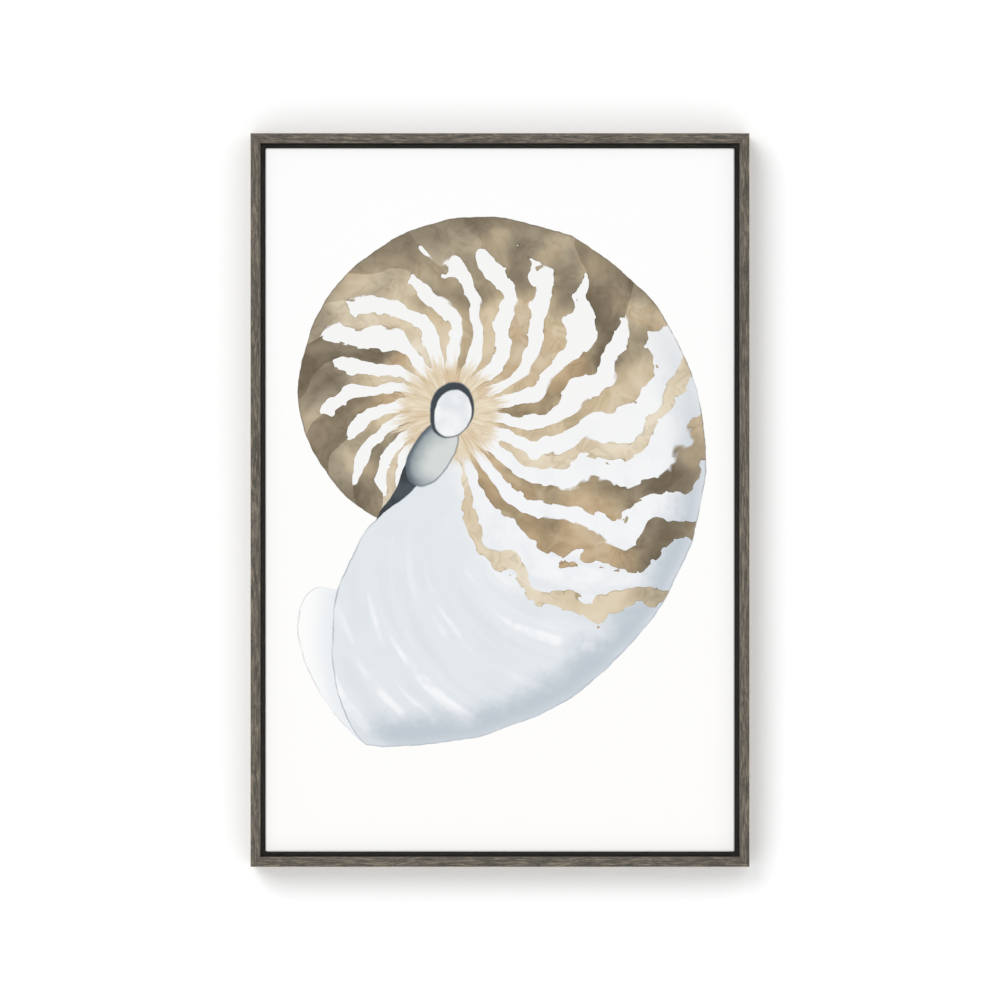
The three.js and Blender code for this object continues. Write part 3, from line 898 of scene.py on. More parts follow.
@dataclass(frozen=True)
class Cloth:
    """The weave that every face of the canvas shares.

    Args:
        thread: Distance between threads, in metres.
        relief: How far the threads stand up, in metres.
    """

    thread: float = 0.00085
    relief: float = 0.00007

    def weave(self, s: Shader, across: Field, up: Field) -> Field:
        """Over-and-under threads with slubs.

        Args:
            s: The cloth's shader.
            across: Metres along the weft.
            up: Metres along the warp.

        Returns:
            The height of the weave, 0 to 1.
        """
        slub = s.noise(across, up, size=0.006, seed=21.0, detail=1.0)
        turn = math.tau / (2 * self.thread)
        weft = s.math("SINE", up * turn + slub * 2.0)
        warp = s.math("SINE", across * turn + slub * 2.0)
        return (weft * warp + 1.0) * 0.5

    def raw(self) -> bpy.types.Material:
        """Make the unprimed cotton of the cloth's inside.

        Returns:
            The material.
        """
        s = Shader("raw_canvas")
        x, y, z = s.place()
        weave = self.weave(s, x + y, z + y)
        flecks = s.noise(x, z, y, size=0.0011, seed=22.0, detail=2.0, roughness=0.6)
        patches = s.noise(x, z, y, size=0.12, seed=23.0)
        colour = s.blend(s.ramp(patches, 0.35, 0.65), "dfd7c3", "dcd3bd")
        # Painted shade: the weave's hollows between the threads are darkened.
        colour = s.blend(s.ramp(weave, 0.35, 0.0) * 0.30, colour, "b8ac92")
        colour = s.blend(s.ramp(flecks, 0.62, 0.74) * 0.4, colour, "a5946f")
        return s.dress(colour, 0.92, height=weave, relief=self.relief * 2)

    def primed(self) -> bpy.types.Material:
        """Make the white ground on the wraps and folds, a little uneven from the brush.

        Returns:
            The material.
        """
        s = Shader("primed_canvas")
        x, y, z = s.place()
        weave = self.weave(s, x + y, z + y)
        brushed = s.noise(x, z, y, size=(0.02, 0.02, 0.004), seed=24.0, detail=2.0)
        colour = s.blend(s.ramp(brushed, 0.35, 0.68), "efedea", "e3e0dc")
        # Painted shade: the weave's hollows between the threads are darkened.
        colour = s.blend(s.ramp(weave, 0.30, 0.0) * 0.15, colour, "cfcbc4")
        return s.dress(colour, s.ramp(brushed, 0.3, 0.7, 0.68, 0.8), height=weave, relief=self.relief)

    def painted(self, middle: Vector) -> bpy.types.Material:
        """Make the painted front.

        Args:
            middle: The middle of the canvas.

        Returns:
            The material.
        """
        s = Shader("painted_canvas")
        x, _, z = s.place()
        paint = ShellStudy().paint(s, (x - middle.x) * TO_MM, (z - middle.z) * TO_MM)
        toned = s.blend(1.0, paint, "f2f2f2", "MULTIPLY")
        return s.dress(toned, 0.72, height=self.weave(s, x, z), relief=self.relief * 0.5)


@dataclass(frozen=True)
class PlatedSteel:
    """Thin bright plating with rolling marks, fingerprints and dull spots.

    Args:
        name: The finish's name.
        bright: The plating's colour.
        dull: The colour where it has dulled.
        roughness: Roughness where it is bright.
    """

    name: str
    bright: str
    dull: str
    roughness: float

    def material(self) -> bpy.types.Material:
        """Make the finish.

        Returns:
            The material.
        """
        s = Shader(self.name)
        x, y, z = s.place()
        marks = s.noise(x, z, y, size=(0.006, 0.0003, 0.0003), seed=31.0, detail=2.0)
        spots = s.noise(x, z, y, size=0.0022, seed=32.0, detail=3.0, roughness=0.6)
        colour = s.blend(s.ramp(spots, 0.46, 0.80) * 0.6, self.bright, self.dull)
        rough = s.ramp(marks * 0.4 + spots * 0.6, 0.35, 0.68, self.roughness, self.roughness + 0.24)
        return s.dress(colour, rough, metallic=1.0, height=marks, relief=0.00002)


@dataclass(frozen=True)
class BumperRubber:
    """Soft dark rubber with lint on it."""

    def material(self) -> bpy.types.Material:
        """Make the finish.

        Returns:
            The material.
        """
        s = Shader("bumper_rubber")
        x, y, z = s.place()
        skin = s.noise(x, z, y, size=0.0005, seed=41.0, detail=2.0)
        lint = s.noise(x, z, y, size=(0.0018, 0.0007, 0.001), seed=42.0, detail=2.0)
        colour = s.blend(s.ramp(lint, 0.60, 0.75) * 0.5, "2d2b2a", "68645f")
        return s.dress(colour, s.ramp(skin, 0.3, 0.7, 0.62, 0.82), height=skin, relief=0.00004)


# ---------------------------------------------------------------- mesh helpers


def picked(geometry: Iterable[Any], kind: type) -> list[Any]:
    """The vertices, edges or faces in an operator's result."""
    return [part for part in geometry if isinstance(part, kind)]


def unique(parts: Iterable[Any]) -> list[Any]:
    """The parts in order, each of them once."""
    return list(dict.fromkeys(parts))


def everything(shape: BMesh) -> list[Any]:
    """All of a bmesh, as an operator takes it."""
    return [*shape.verts, *shape.edges, *shape.faces]


def rounded(shape: BMesh, edges: Iterable[BMEdge], radius: float, segments: int = 2) -> None:
    """Round edges over.

    Args:
        shape: The bmesh.
        edges: The edges.
        radius: The rounding.
        segments: Facets across it.
    """
    bmesh.ops.bevel(shape, geom=list(edges), offset=radius, offset_type="OFFSET", segments=segments,
                    profile=0.5, affect="EDGES", clamp_overlap=True, material=-1)


def swept(section: Section, length: float) -> BMesh:
    """A (y, z) section extruded along x.

    Args:
        section: The section's corners.
        length: How long it is, centred on x = 0.

    Returns:
        The closed shape.
    """
    shape = bmesh.new()
    start = shape.faces.new([shape.verts.new((-length / 2, y, z)) for y, z in section])
    grown = bmesh.ops.extrude_face_region(shape, geom=[start])["geom"]
    bmesh.ops.translate(shape, verts=picked(grown, BMVert), vec=(length, 0, 0))
    bmesh.ops.recalc_face_normals(shape, faces=shape.faces)
    return shape


def pushed(shape: BMesh, faces: list[BMFace], way: tuple[float, float, float]) -> list[BMVert]:
    """Extrude a patch of faces.

    Args:
        shape: The shape.
        faces: The patch.
        way: How far it moves.

    Returns:
        The moved vertices.
    """
    grown = bmesh.ops.extrude_face_region(shape, geom=faces)["geom"]
    moved = picked(grown, BMVert)
    bmesh.ops.translate(shape, verts=moved, vec=way)
    bmesh.ops.delete(shape, geom=[f for f in faces if f.is_valid], context="FACES")
    return moved


def running_edges(shape: BMesh, before: float = math.inf) -> list[BMEdge]:
    """The edges that run along x, or those of them in front of this y."""
    return [e for e in shape.edges
            if abs((e.verts[0].co - e.verts[1].co).normalized().x) > FACING and e.verts[0].co.y < before]


def mitred(shape: BMesh, reach: float, arris: float) -> None:
    """Cut both ends at 45 degrees and just break their edges.

    Args:
        shape: A shape that runs along x with its outer face on z = 0.
        reach: Half its length on the outer face.
        arris: The rounding of the cut's edges.
    """
    for end in (-1, 1):
        cut = bmesh.ops.bisect_plane(shape, geom=everything(shape), dist=CUT_MERGE,
                                     plane_co=(end * reach, 0, 0),
                                     plane_no=(end, 0, -1), clear_outer=True)
        rim = picked(cut["geom_cut"], BMEdge)
        bmesh.ops.edgeloop_fill(shape, edges=rim)
        rounded(shape, rim, arris, segments=1)


def turned(profile: Section, sides: int) -> BMesh:
    """A body of revolution about the y axis.

    Args:
        profile: (radius, y) points in order; an end off the axis is filled flat.
        sides: Facets round it.

    Returns:
        The closed shape.
    """
    shape = bmesh.new()
    points = [shape.verts.new((radius, y, 0)) for radius, y in profile]
    edges = [shape.edges.new(pair) for pair in zip(points, points[1:])]
    bmesh.ops.spin(shape, geom=[*points, *edges], cent=(0, 0, 0), axis=(0, 1, 0), angle=math.tau,
                   steps=sides, use_merge=True, use_duplicate=False)
    bmesh.ops.remove_doubles(shape, verts=shape.verts, dist=NEAR)
    rims = [e for e in shape.edges if e.is_boundary]
    if rims:
        bmesh.ops.holes_fill(shape, edges=rims, sides=0)
    bmesh.ops.recalc_face_normals(shape, faces=shape.faces)
    return shape


def sunk(shape: BMesh, x: float, z: float, rings: Section) -> None:
    """Sink a round blind hole into a flat back on y = 0.

    Args:
        shape: The shape.
        x: The hole's place along x.
        z: The hole's place along z.
        rings: (radius, y) of each step of the hole, from its mouth in.
    """
    middle = Vector((x, 0, z))
    patch_half = rings[0][0] * HOLE_SURROUND
    for way in (Vector((1, 0, 0)), Vector((0, 0, 1))):
        for reach in (-patch_half, patch_half):
            bmesh.ops.bisect_plane(shape, geom=everything(shape), dist=CUT_MERGE,
                                   plane_co=middle + way * reach, plane_no=way)
    backs = [f for f in shape.faces if f.normal.y > FACING]
    patch = min(backs, key=lambda f: (f.calc_center_median() - middle).length)
    skin = patch.material_index
    bmesh.ops.delete(shape, geom=[patch], context="FACES_ONLY")
    mouth = [e for e in shape.edges if e.is_boundary]
    upright = Matrix.Translation((x, rings[0][1], z)) @ Matrix.Rotation(math.pi / 2, 4, "X")
    ring = bmesh.ops.create_circle(shape, cap_ends=False, radius=rings[0][0], segments=HOLE_SIDES,
                                   matrix=upright)["verts"]
    edges = unique(e for v in ring for e in v.link_edges)
    collar = bmesh.ops.triangle_fill(shape, use_beauty=True, edges=mouth + edges, normal=(0, 1, 0))["geom"]
    made = picked(collar, BMFace)
    for (wide, top), (narrow, low) in zip(rings, rings[1:]):
        grown = bmesh.ops.extrude_edge_only(shape, edges=edges)["geom"]
        made += picked(grown, BMFace)
        edges, ring = picked(grown, BMEdge), picked(grown, BMVert)
        bmesh.ops.scale(shape, verts=ring, vec=(narrow / wide, 1, narrow / wide),
                        space=Matrix.Translation(-middle))
        bmesh.ops.translate(shape, verts=ring, vec=(0, low - top, 0))
    made += bmesh.ops.edgeloop_fill(shape, edges=edges)["faces"]
    for face in made:
        face.material_index = skin
    bmesh.ops.recalc_face_normals(shape, faces=shape.faces)


def finished(
    name: str, shape: BMesh, materials: list[bpy.types.Material], smooth: float = 35.0
) -> bpy.types.Object:
    """Turn a bmesh that is in place into a piece.

    Args:
        name: The piece's name.
        shape: The bmesh, which is used up.
        materials: Its materials, in the order of the faces' indices.
        smooth: Edges sharper than this many degrees stay sharp.

    Returns:
        The piece.
    """
    mesh = bpy.data.meshes.new(name)
    shape.to_mesh(mesh)
    shape.free()
    mesh.polygons.foreach_set("use_smooth", [True] * len(mesh.polygons))
    mesh.set_sharp_from_angle(angle=math.radians(smooth))
    for material in materials:
        mesh.materials.append(material)
    piece = bpy.data.objects.new(name, mesh)
    bpy.context.scene.collection.objects.link(piece)
    return piece


def fitted(piece: bpy.types.Object, slot: str, *nodes: str) -> bpy.types.Object:
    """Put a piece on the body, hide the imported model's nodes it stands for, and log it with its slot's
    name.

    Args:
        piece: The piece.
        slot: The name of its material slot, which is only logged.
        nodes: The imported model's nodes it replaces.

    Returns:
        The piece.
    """
    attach(piece, BODY)
    if nodes:
        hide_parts(*nodes)
    LOG.info("%s: %d faces, slot %s, stands for %s", piece.name, len(piece.data.polygons), slot,
             ", ".join(nodes) or "nothing")
    return piece


def side_place(side: Side, distance: float, middle: Vector) -> Matrix:
    """Where a side's own frame lies: x along the side, +z outwards.

    Args:
        side: The side.
        distance: From the picture's middle to the side's outer face.
        middle: The picture's middle.

    Returns:
        The placement.
    """
    lift = Matrix.Translation((middle.x, 0, middle.z))
    return lift @ Matrix.Rotation(side.value, 4, "Y") @ Matrix.Translation((0, 0, distance))


def span_of(kind: str) -> tuple[Vector, float, float]:
    """The rectangle that four sides make.

    Args:
        kind: The sides' name, before the word for each.

    Returns:
        Its middle, width and height.
    """
    left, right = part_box(f"{kind}_left")[0].x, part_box(f"{kind}_right")[1].x
    bottom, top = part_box(f"{kind}_bottom")[0].z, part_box(f"{kind}_top")[1].z
    return Vector(((left + right) / 2, 0, (bottom + top) / 2)), right - left, top - bottom


# ---------------------------------------------------------------- frame


@dataclass
class FloaterFrame:
    """Four mitred L-section rails: a thin wall that shows, and a ledge behind the canvas.

    Args:
        wall: Thickness of the wall, the border seen from the front.
        depth: Front to back.
        ledge: Thickness of the ledge.
        base: Width of wall, channel and ledge together.
        screw_inset: From the outer face to the canvas screws.
        front_round: Rounding of the wall's two front edges.
        edge_round: Rounding of the other edges.
        arris: How far the edges of the mitres are broken.
        screw_hole: (radius, y) of each step of a screw hole, from its mouth to the ledge's front.
        screws_across: Screw places along the top and bottom rails.
        screws_up: Screw places along the side rails.
    """

    wall: float = 0.0127
    depth: float = 0.04445
    ledge: float = 0.00635
    base: float = 0.0381
    screw_inset: float = 0.028575
    front_round: float = 0.0008
    edge_round: float = 0.0004
    arris: float = 0.00012
    screw_hole: Section = ((0.0039, 0.0), (0.00205, -0.0025), (0.00205, -0.00615))
    screws_across: tuple[float, ...] = (-0.150, 0.150)
    screws_up: tuple[float, ...] = (-0.250, 0.250)

    def blank(self, length: float, screws: tuple[float, ...]) -> BMesh:
        """One rail along x, its outer face on z = 0.

        Args:
            length: Its length on the outer face.
            screws: Where the canvas screws go through the ledge.

        Returns:
            The rail, with its faces sorted into its finishes.
        """
        section = ((0, 0), (0, -self.base), (-self.ledge, -self.base), (-self.ledge, -self.wall),
                   (-self.depth, -self.wall), (-self.depth, 0))
        rail = swept(section, length + 2 * self.wall)
        wall_front = self.edge_round - self.depth
        kept = running_edges(rail, wall_front)
        kept += [e for e in running_edges(rail) if abs(e.verts[0].co.y + self.ledge) < NEAR
                 and abs(e.verts[0].co.z + self.wall) < NEAR]
        rounded(rail, [e for e in running_edges(rail) if e not in kept], self.edge_round)
        rounded(rail, running_edges(rail, wall_front), self.front_round, segments=3)
        self.sort_faces(rail)
        mitred(rail, length / 2 - MITRE_GAP / 2, self.arris)
        for x in screws:
            sunk(rail, x, -self.screw_inset, self.screw_hole)
        return rail

    def sort_faces(self, rail: BMesh) -> None:
        """Give each face its finish.

        Args:
            rail: The rail, before its ends are cut.
        """
        for face in rail.faces:
            middle = face.calc_center_median()
            slanted = max(abs(face.normal.y), abs(face.normal.z)) < SLANTED
            if slanted and middle.y < -self.depth + self.front_round:
                face.material_index = RailFinish.RUBBED
            elif middle.z > -self.edge_round or middle.y < -self.depth + self.edge_round:
                face.material_index = RailFinish.STAINED
            elif middle.z < -self.wall + self.edge_round and middle.y < -self.ledge + self.edge_round:
                face.material_index = RailFinish.BLACK
            else:
                face.material_index = RailFinish.BARE

    def build(self) -> list[bpy.types.Object]:
        """Build and dress the four rails.

        Returns:
            The rails.
        """
        finishes = {
            grain: [StainedWood(grain).material(), BlackPaint(grain, -self.depth, -self.ledge).material(),
                    BareWood("bare_frame_wood", grain, "cdb189", "a98a5f", spacing=0.0042).material(),
                    StainedWood(grain, rubbed=True).material()]
            for grain in Grain
        }
        middle, width, height = span_of("frame_rail")
        rails = []
        for side in Side:
            across = side.grain is Grain.ACROSS
            length, reach = (width, height) if across else (height, width)
            rail = self.blank(length, self.screws_across if across else self.screws_up)
            bmesh.ops.transform(rail, matrix=side_place(side, reach / 2, middle), verts=rail.verts)
            piece = finished(f"floater_rail_{side.word}", rail, finishes[side.grain])
            rails.append(fitted(piece, "grey_wood", f"frame_rail_{side.word}"))
        return rails


# ---------------------------------------------------------------- stretcher


@dataclass
class Stretcher:
    """Four mitred pine bars with a raised outer bead, and a brace across their middle.

    Args:
        width: Width of a bar.
        bead: Width of the raised strip that the cloth bears on.
        fall: How far the front falls away inwards.
        edge_round: Rounding of the long edges.
        bead_round: Rounding of the bead's two edges.
        arris: How far the edges of the mitres are broken.
        tenon: Length of the brace's tenons.
        shoulder: Width of the shoulder round each tenon.
    """

    width: float = 0.0381
    bead: float = 0.006
    fall: float = 0.003
    edge_round: float = 0.0008
    bead_round: float = 0.0014
    arris: float = 0.0003
    tenon: float = 0.015
    shoulder: float = 0.007

    def bar(self, length: float, front: float, back: float) -> BMesh:
        """One bar along x, its outer face on z = 0.

        Args:
            length: Its length on the outer face.
            front: Its front's y.
            back: Its back's y.

        Returns:
            The bar.
        """
        section = ((back, 0), (back, -self.width), (front + self.fall, -self.width),
                   (front, -self.bead), (front, 0))
        bar = swept(section, length + self.width)
        bead_back = front + self.fall / 2
        bead = running_edges(bar, bead_back)
        rounded(bar, [e for e in running_edges(bar) if e not in bead], self.edge_round)
        rounded(bar, running_edges(bar, bead_back), self.bead_round, segments=3)
        mitred(bar, length / 2 - MITRE_GAP, self.arris)
        return bar

    def build(self) -> list[bpy.types.Object]:
        """Build and dress the bars and the brace.

        Returns:
            The five pieces.
        """
        pine = {grain: BareWood("pine", grain, "dcc296", "c29c66", spacing=0.0065).material()
                for grain in Grain}
        low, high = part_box("stretcher_bar_top")
        middle, wide, tall = span_of("stretcher_bar")
        pieces = []
        for side in Side:
            across = side.grain is Grain.ACROSS
            length, reach = (wide, tall) if across else (tall, wide)
            bar = self.bar(length, low.y, high.y)
            bmesh.ops.transform(bar, matrix=side_place(side, reach / 2, middle), verts=bar.verts)
            piece = finished(f"pine_bar_{side.word}", bar, [pine[side.grain]])
            pieces.append(fitted(piece, "pine", f"stretcher_bar_{side.word}"))
        return [*pieces, self.brace(pine[Grain.ACROSS])]

    def brace(self, pine: bpy.types.Material) -> bpy.types.Object:
        """Build and dress the brace, its shoulders against the bars and its tenons in them.

        Args:
            pine: Its finish.

        Returns:
            The brace.
        """
        low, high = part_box("cross_brace")
        body = bmesh.new()
        size = Vector((high.x - low.x - 2 * self.tenon, high.y - low.y, high.z - low.z))
        place = Matrix.Translation((low + high) / 2) @ Matrix.Diagonal((*size, 1))
        bmesh.ops.create_cube(body, size=1.0, matrix=place)
        ends = [f for f in body.faces if abs(f.normal.x) > FACING]
        for end in ends:
            bmesh.ops.inset_region(body, faces=[end], thickness=self.shoulder, use_even_offset=True)
        for end in ends:
            pushed(body, [end], (math.copysign(self.tenon, end.normal.x), 0, 0))
        bmesh.ops.recalc_face_normals(body, faces=body.faces)
        rounded(body, running_edges(body), self.edge_round)
        return fitted(finished("pine_brace", body, [pine]), "pine", "cross_brace")


# ---------------------------------------------------------------- canvas


@dataclass(frozen=True)
class MapPatch:
    """A rectangle of the canvas's map.

    Args:
        left: Its left side, in shares of the map's width.
        bottom: Its lower side, in shares of the map's height.
        right: Its right side.
        top: Its upper side.
    """

    left: float
    bottom: float
    right: float
    top: float

    def within(self, share: float) -> "MapPatch":
        """The patch left when this share of it is taken off each side."""
        across, up = (self.right - self.left) * share, (self.top - self.bottom) * share
        return MapPatch(self.left + across, self.bottom + up, self.right - across, self.top - up)

    def spot(self, across: float, up: float) -> tuple[float, float]:
        """The place in the map of shares across and up this patch."""
        return self.left + (self.right - self.left) * across, self.bottom + (self.top - self.bottom) * up


@dataclass
class StretchedCanvas:
    """One sheet of primed canvas, painted on the front, wrapped and folded onto the bars' backs.

    Args:
        cloth: Thickness of the cloth.
        turn_round: Rounding where the cloth turns over the bars.
        fold: Width of the cloth folded onto the backs.
        cell: Rough size of the cloth's facets.
        skin: How far from a fold's outside a place still counts as on it.
        facing_front: How far a face's normal leans to the front where the picture is painted on it.
        crease: Depth and half-width of the crease at each back corner.
        crease_reach: How far from the corner it runs, in widths of the fold.
        tuck: How far the cloth tucked under a back corner lifts its lapping edge.
        snip: How far the cut edge strays from straight.
        snip_way: Radians of wave for each metre along x and along z.
        snip_waves: The rate, phase and share of each wave that it strays in.
        flat: The size it was cut to; not used.
        map_margin: Space left round each patch of the map.
        front_share: Share of the map's width that the painted front takes.
        inside_share: Share of it that ends the patch of the back and the inside.
        nest: Share taken off each side of the back's patch for each patch inside it.
        strip: Share of its place that each side's strip fills.
    """

    cloth: float = 0.0007
    turn_round: float = 0.0025
    fold: float = 0.030
    cell: float = 0.030
    skin: float = 0.00001
    facing_front: float = 0.35
    crease: float = 0.0004
    crease_reach: float = 1.5
    tuck: float = 0.0002
    snip: float = 0.0005
    snip_way: tuple[float, float, float] = (61.0, 0.0, 47.0)
    snip_waves: tuple[tuple[float, float, float], ...] = (
        (1.0, 0.0, 0.5), (2.7, 1.3, 0.3), (6.1, 0.0, 0.2))
    flat: tuple[float, float] = (0.7325, 1.0373)
    map_margin: float = 0.004
    front_share: float = 0.73
    inside_share: float = 0.93
    nest: float = 0.06
    strip: float = 0.8

    def build(self) -> bpy.types.Object:
        """Returns:
            The canvas.
        """
        low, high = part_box("canvas")
        middle = (low + high) / 2
        shape = bmesh.new()
        block = Matrix.Translation(middle) @ Matrix.Diagonal((*(high - low), 1))
        bmesh.ops.create_cube(shape, size=1.0, matrix=block)
        rounded(shape, shape.edges, self.turn_round, segments=3)
        self.quilt(shape, low, high)
        backs = [f for f in shape.faces if f.normal.y > FACING
                 and abs(f.calc_center_median().x - middle.x) < (high.x - low.x) / 2 - self.fold
                 and abs(f.calc_center_median().z - middle.z) < (high.z - low.z) / 2 - self.fold]
        bmesh.ops.delete(shape, geom=backs, context="FACES")
        self.trim(shape, middle)
        bmesh.ops.recalc_face_normals(shape, faces=shape.faces)
        if sum(f.normal.y * f.calc_area() for f in shape.faces) > 0:
            bmesh.ops.reverse_faces(shape, faces=shape.faces)
        bmesh.ops.solidify(shape, geom=list(shape.faces), thickness=self.cloth)
        bmesh.ops.recalc_face_normals(shape, faces=shape.faces)
        self.crease_corners(shape, low, high)
        self.sort_faces(shape, low, high)
        self.lay_out(shape, low, high)
        cloth = Cloth()
        sides = [cloth.painted(middle), cloth.primed(), cloth.raw()]
        piece = finished("stretched_canvas", shape, sides, smooth=60.0)
        fitted(piece, "painted_canvas", "canvas")
        return piece

    def quilt(self, shape: BMesh, low: Vector, high: Vector) -> None:
        """Cut the block into cells, with a cut along each fold's edge.

        Args:
            shape: The block.
            low: Its lowest corner.
            high: Its highest corner.
        """
        for axis in (0, 2):
            way = Vector((axis == 0, 0, axis == 2))
            start, end = low[axis] + self.fold, high[axis] - self.fold
            cells = max(1, round((end - start) / self.cell))
            for i in range(cells + 1):
                place = way * (start + (end - start) * i / cells)
                bmesh.ops.bisect_plane(shape, geom=everything(shape), dist=CUT_MERGE, plane_co=place,
                                       plane_no=way)

    def trim(self, shape: BMesh, middle: Vector) -> None:
        """Make the cut edge on the back a little uneven, as shears leave it.

        Args:
            shape: The open sheet.
            middle: Its middle.
        """
        for vert in unique(v for e in shape.edges if e.is_boundary for v in e.verts):
            run = vert.co.dot(self.snip_way)
            wave = sum(math.sin(run * rate + phase) * share for rate, phase, share in self.snip_waves)
            side = vert.co - middle
            vert.co.x -= math.copysign(self.snip * wave, side.x)
            vert.co.z -= math.copysign(self.snip * wave, side.z)

    def crease_corners(self, shape: BMesh, low: Vector, high: Vector) -> None:
        """Crease each back corner along its diagonal, the upright fold lapping over the other.

        Args:
            shape: The sheet, with its thickness.
            low: Its lowest corner.
            high: Its highest corner.
        """
        for x, x_way in ((low.x, 1), (high.x, -1)):
            for z, z_way in ((low.z, 1), (high.z, -1)):
                across = Vector((x_way, 0, -z_way)).normalized()
                self.crease_corner(shape, Vector((x, high.y, z)), across)

    def crease_corner(self, shape: BMesh, corner: Vector, across: Vector) -> None:
        """Crease one back corner along its diagonal.

        Args:
            shape: The sheet, with its thickness.
            corner: The back corner of the canvas's box.
            across: The way over the crease, from the lapping fold.
        """
        def near(place: Vector) -> bool:
            """Whether a place is on the folds' outside, within the crease's reach."""
            reach = self.fold * self.crease_reach
            return place.y > corner.y - self.skin and (place - corner).length < reach

        for offset in (-self.crease, 0.0, self.crease):
            folds = [f for f in shape.faces if f.normal.y > FACING and near(f.calc_center_median())]
            parts = unique(p for f in folds for p in (f, *f.edges, *f.verts))
            bmesh.ops.bisect_plane(shape, geom=parts, dist=CUT_MERGE, plane_co=corner + across * offset,
                                   plane_no=across)
        for vert in filter(lambda v: near(v.co), shape.verts):
            off = (vert.co - corner).dot(across)
            if abs(off) < NEAR:
                vert.co.y -= self.crease
            elif abs(off + self.crease) < NEAR:
                vert.co.y += self.tuck

    def outwards(self, face: BMFace, low: Vector, high: Vector) -> bool:
        """Whether a face is on the sheet's outside.

        Args:
            face: The face.
            low: The canvas's lowest corner.
            high: The canvas's highest corner.

        Returns:
            True on the outside, False on the side that lies on the bars and on the cut edge.
        """
        place = face.calc_center_median()
        core = [min(max(c, a + self.turn_round), b - self.turn_round) for c, a, b in zip(place, low, high)]
        return face.normal.dot(place - Vector(core)) > self.cloth / 3

    def sort_faces(self, shape: BMesh, low: Vector, high: Vector) -> None:
        """Give each face its finish: the painting, the primed wraps and folds, or the raw inside.

        Args:
            shape: The canvas.
            low: Its lowest corner.
            high: Its highest corner.
        """
        for face in shape.faces:
            if not self.outwards(face, low, high):
                face.material_index = ClothFinish.RAW
            elif face.normal.y < -self.facing_front:
                face.material_index = ClothFinish.PAINTED
            else:
                face.material_index = ClothFinish.PRIMED

    def patches(self) -> dict[tuple[int, bool, bool], MapPatch]:
        """The map's patches.

        Returns:
            A patch for each axis that a face looks along, whether it looks up that axis, and
            whether it is on the outside.
        """
        edge = self.map_margin
        back = MapPatch(self.front_share + edge, edge, self.inside_share, 1 - edge)
        found = {(1, False, True): MapPatch(edge, edge, self.front_share - edge, 1 - edge),
                 (1, True, True): back,
                 (1, True, False): back.within(self.nest),
                 (1, False, False): back.within(2 * self.nest)}
        strips = [(axis, up, outside)
                  for axis in (0, 2) for up in (False, True) for outside in (False, True)]
        start = self.inside_share + edge
        step = (1 - edge - start) / len(strips)
        for number, kind in enumerate(strips):
            left = start + step * number
            found[kind] = MapPatch(left, edge, left + step * self.strip, 1 - edge)
        return found

    def lay_out(self, shape: BMesh, low: Vector, high: Vector) -> None:
        """Draw the sheet's own map, the painted front on the largest patch.

        Args:
            shape: The canvas.
            low: Its lowest corner.
            high: Its highest corner.
        """
        layer = shape.loops.layers.uv.new("OFBake")
        patches = self.patches()
        size = high - low
        for face in shape.faces:
            axis = max(range(3), key=lambda i: abs(face.normal[i]))
            patch = patches[axis, face.normal[axis] > 0, self.outwards(face, low, high)]
            across, up = ((1, 2), (0, 2), (1, 0))[axis]
            for loop in face.loops:
                share = [(c - a) / s for c, a, s in zip(loop.vert.co, low, size)]
                loop[layer].uv = patch.spot(share[across], share[up])


# ---------------------------------------------------------------- metalwork and bumpers


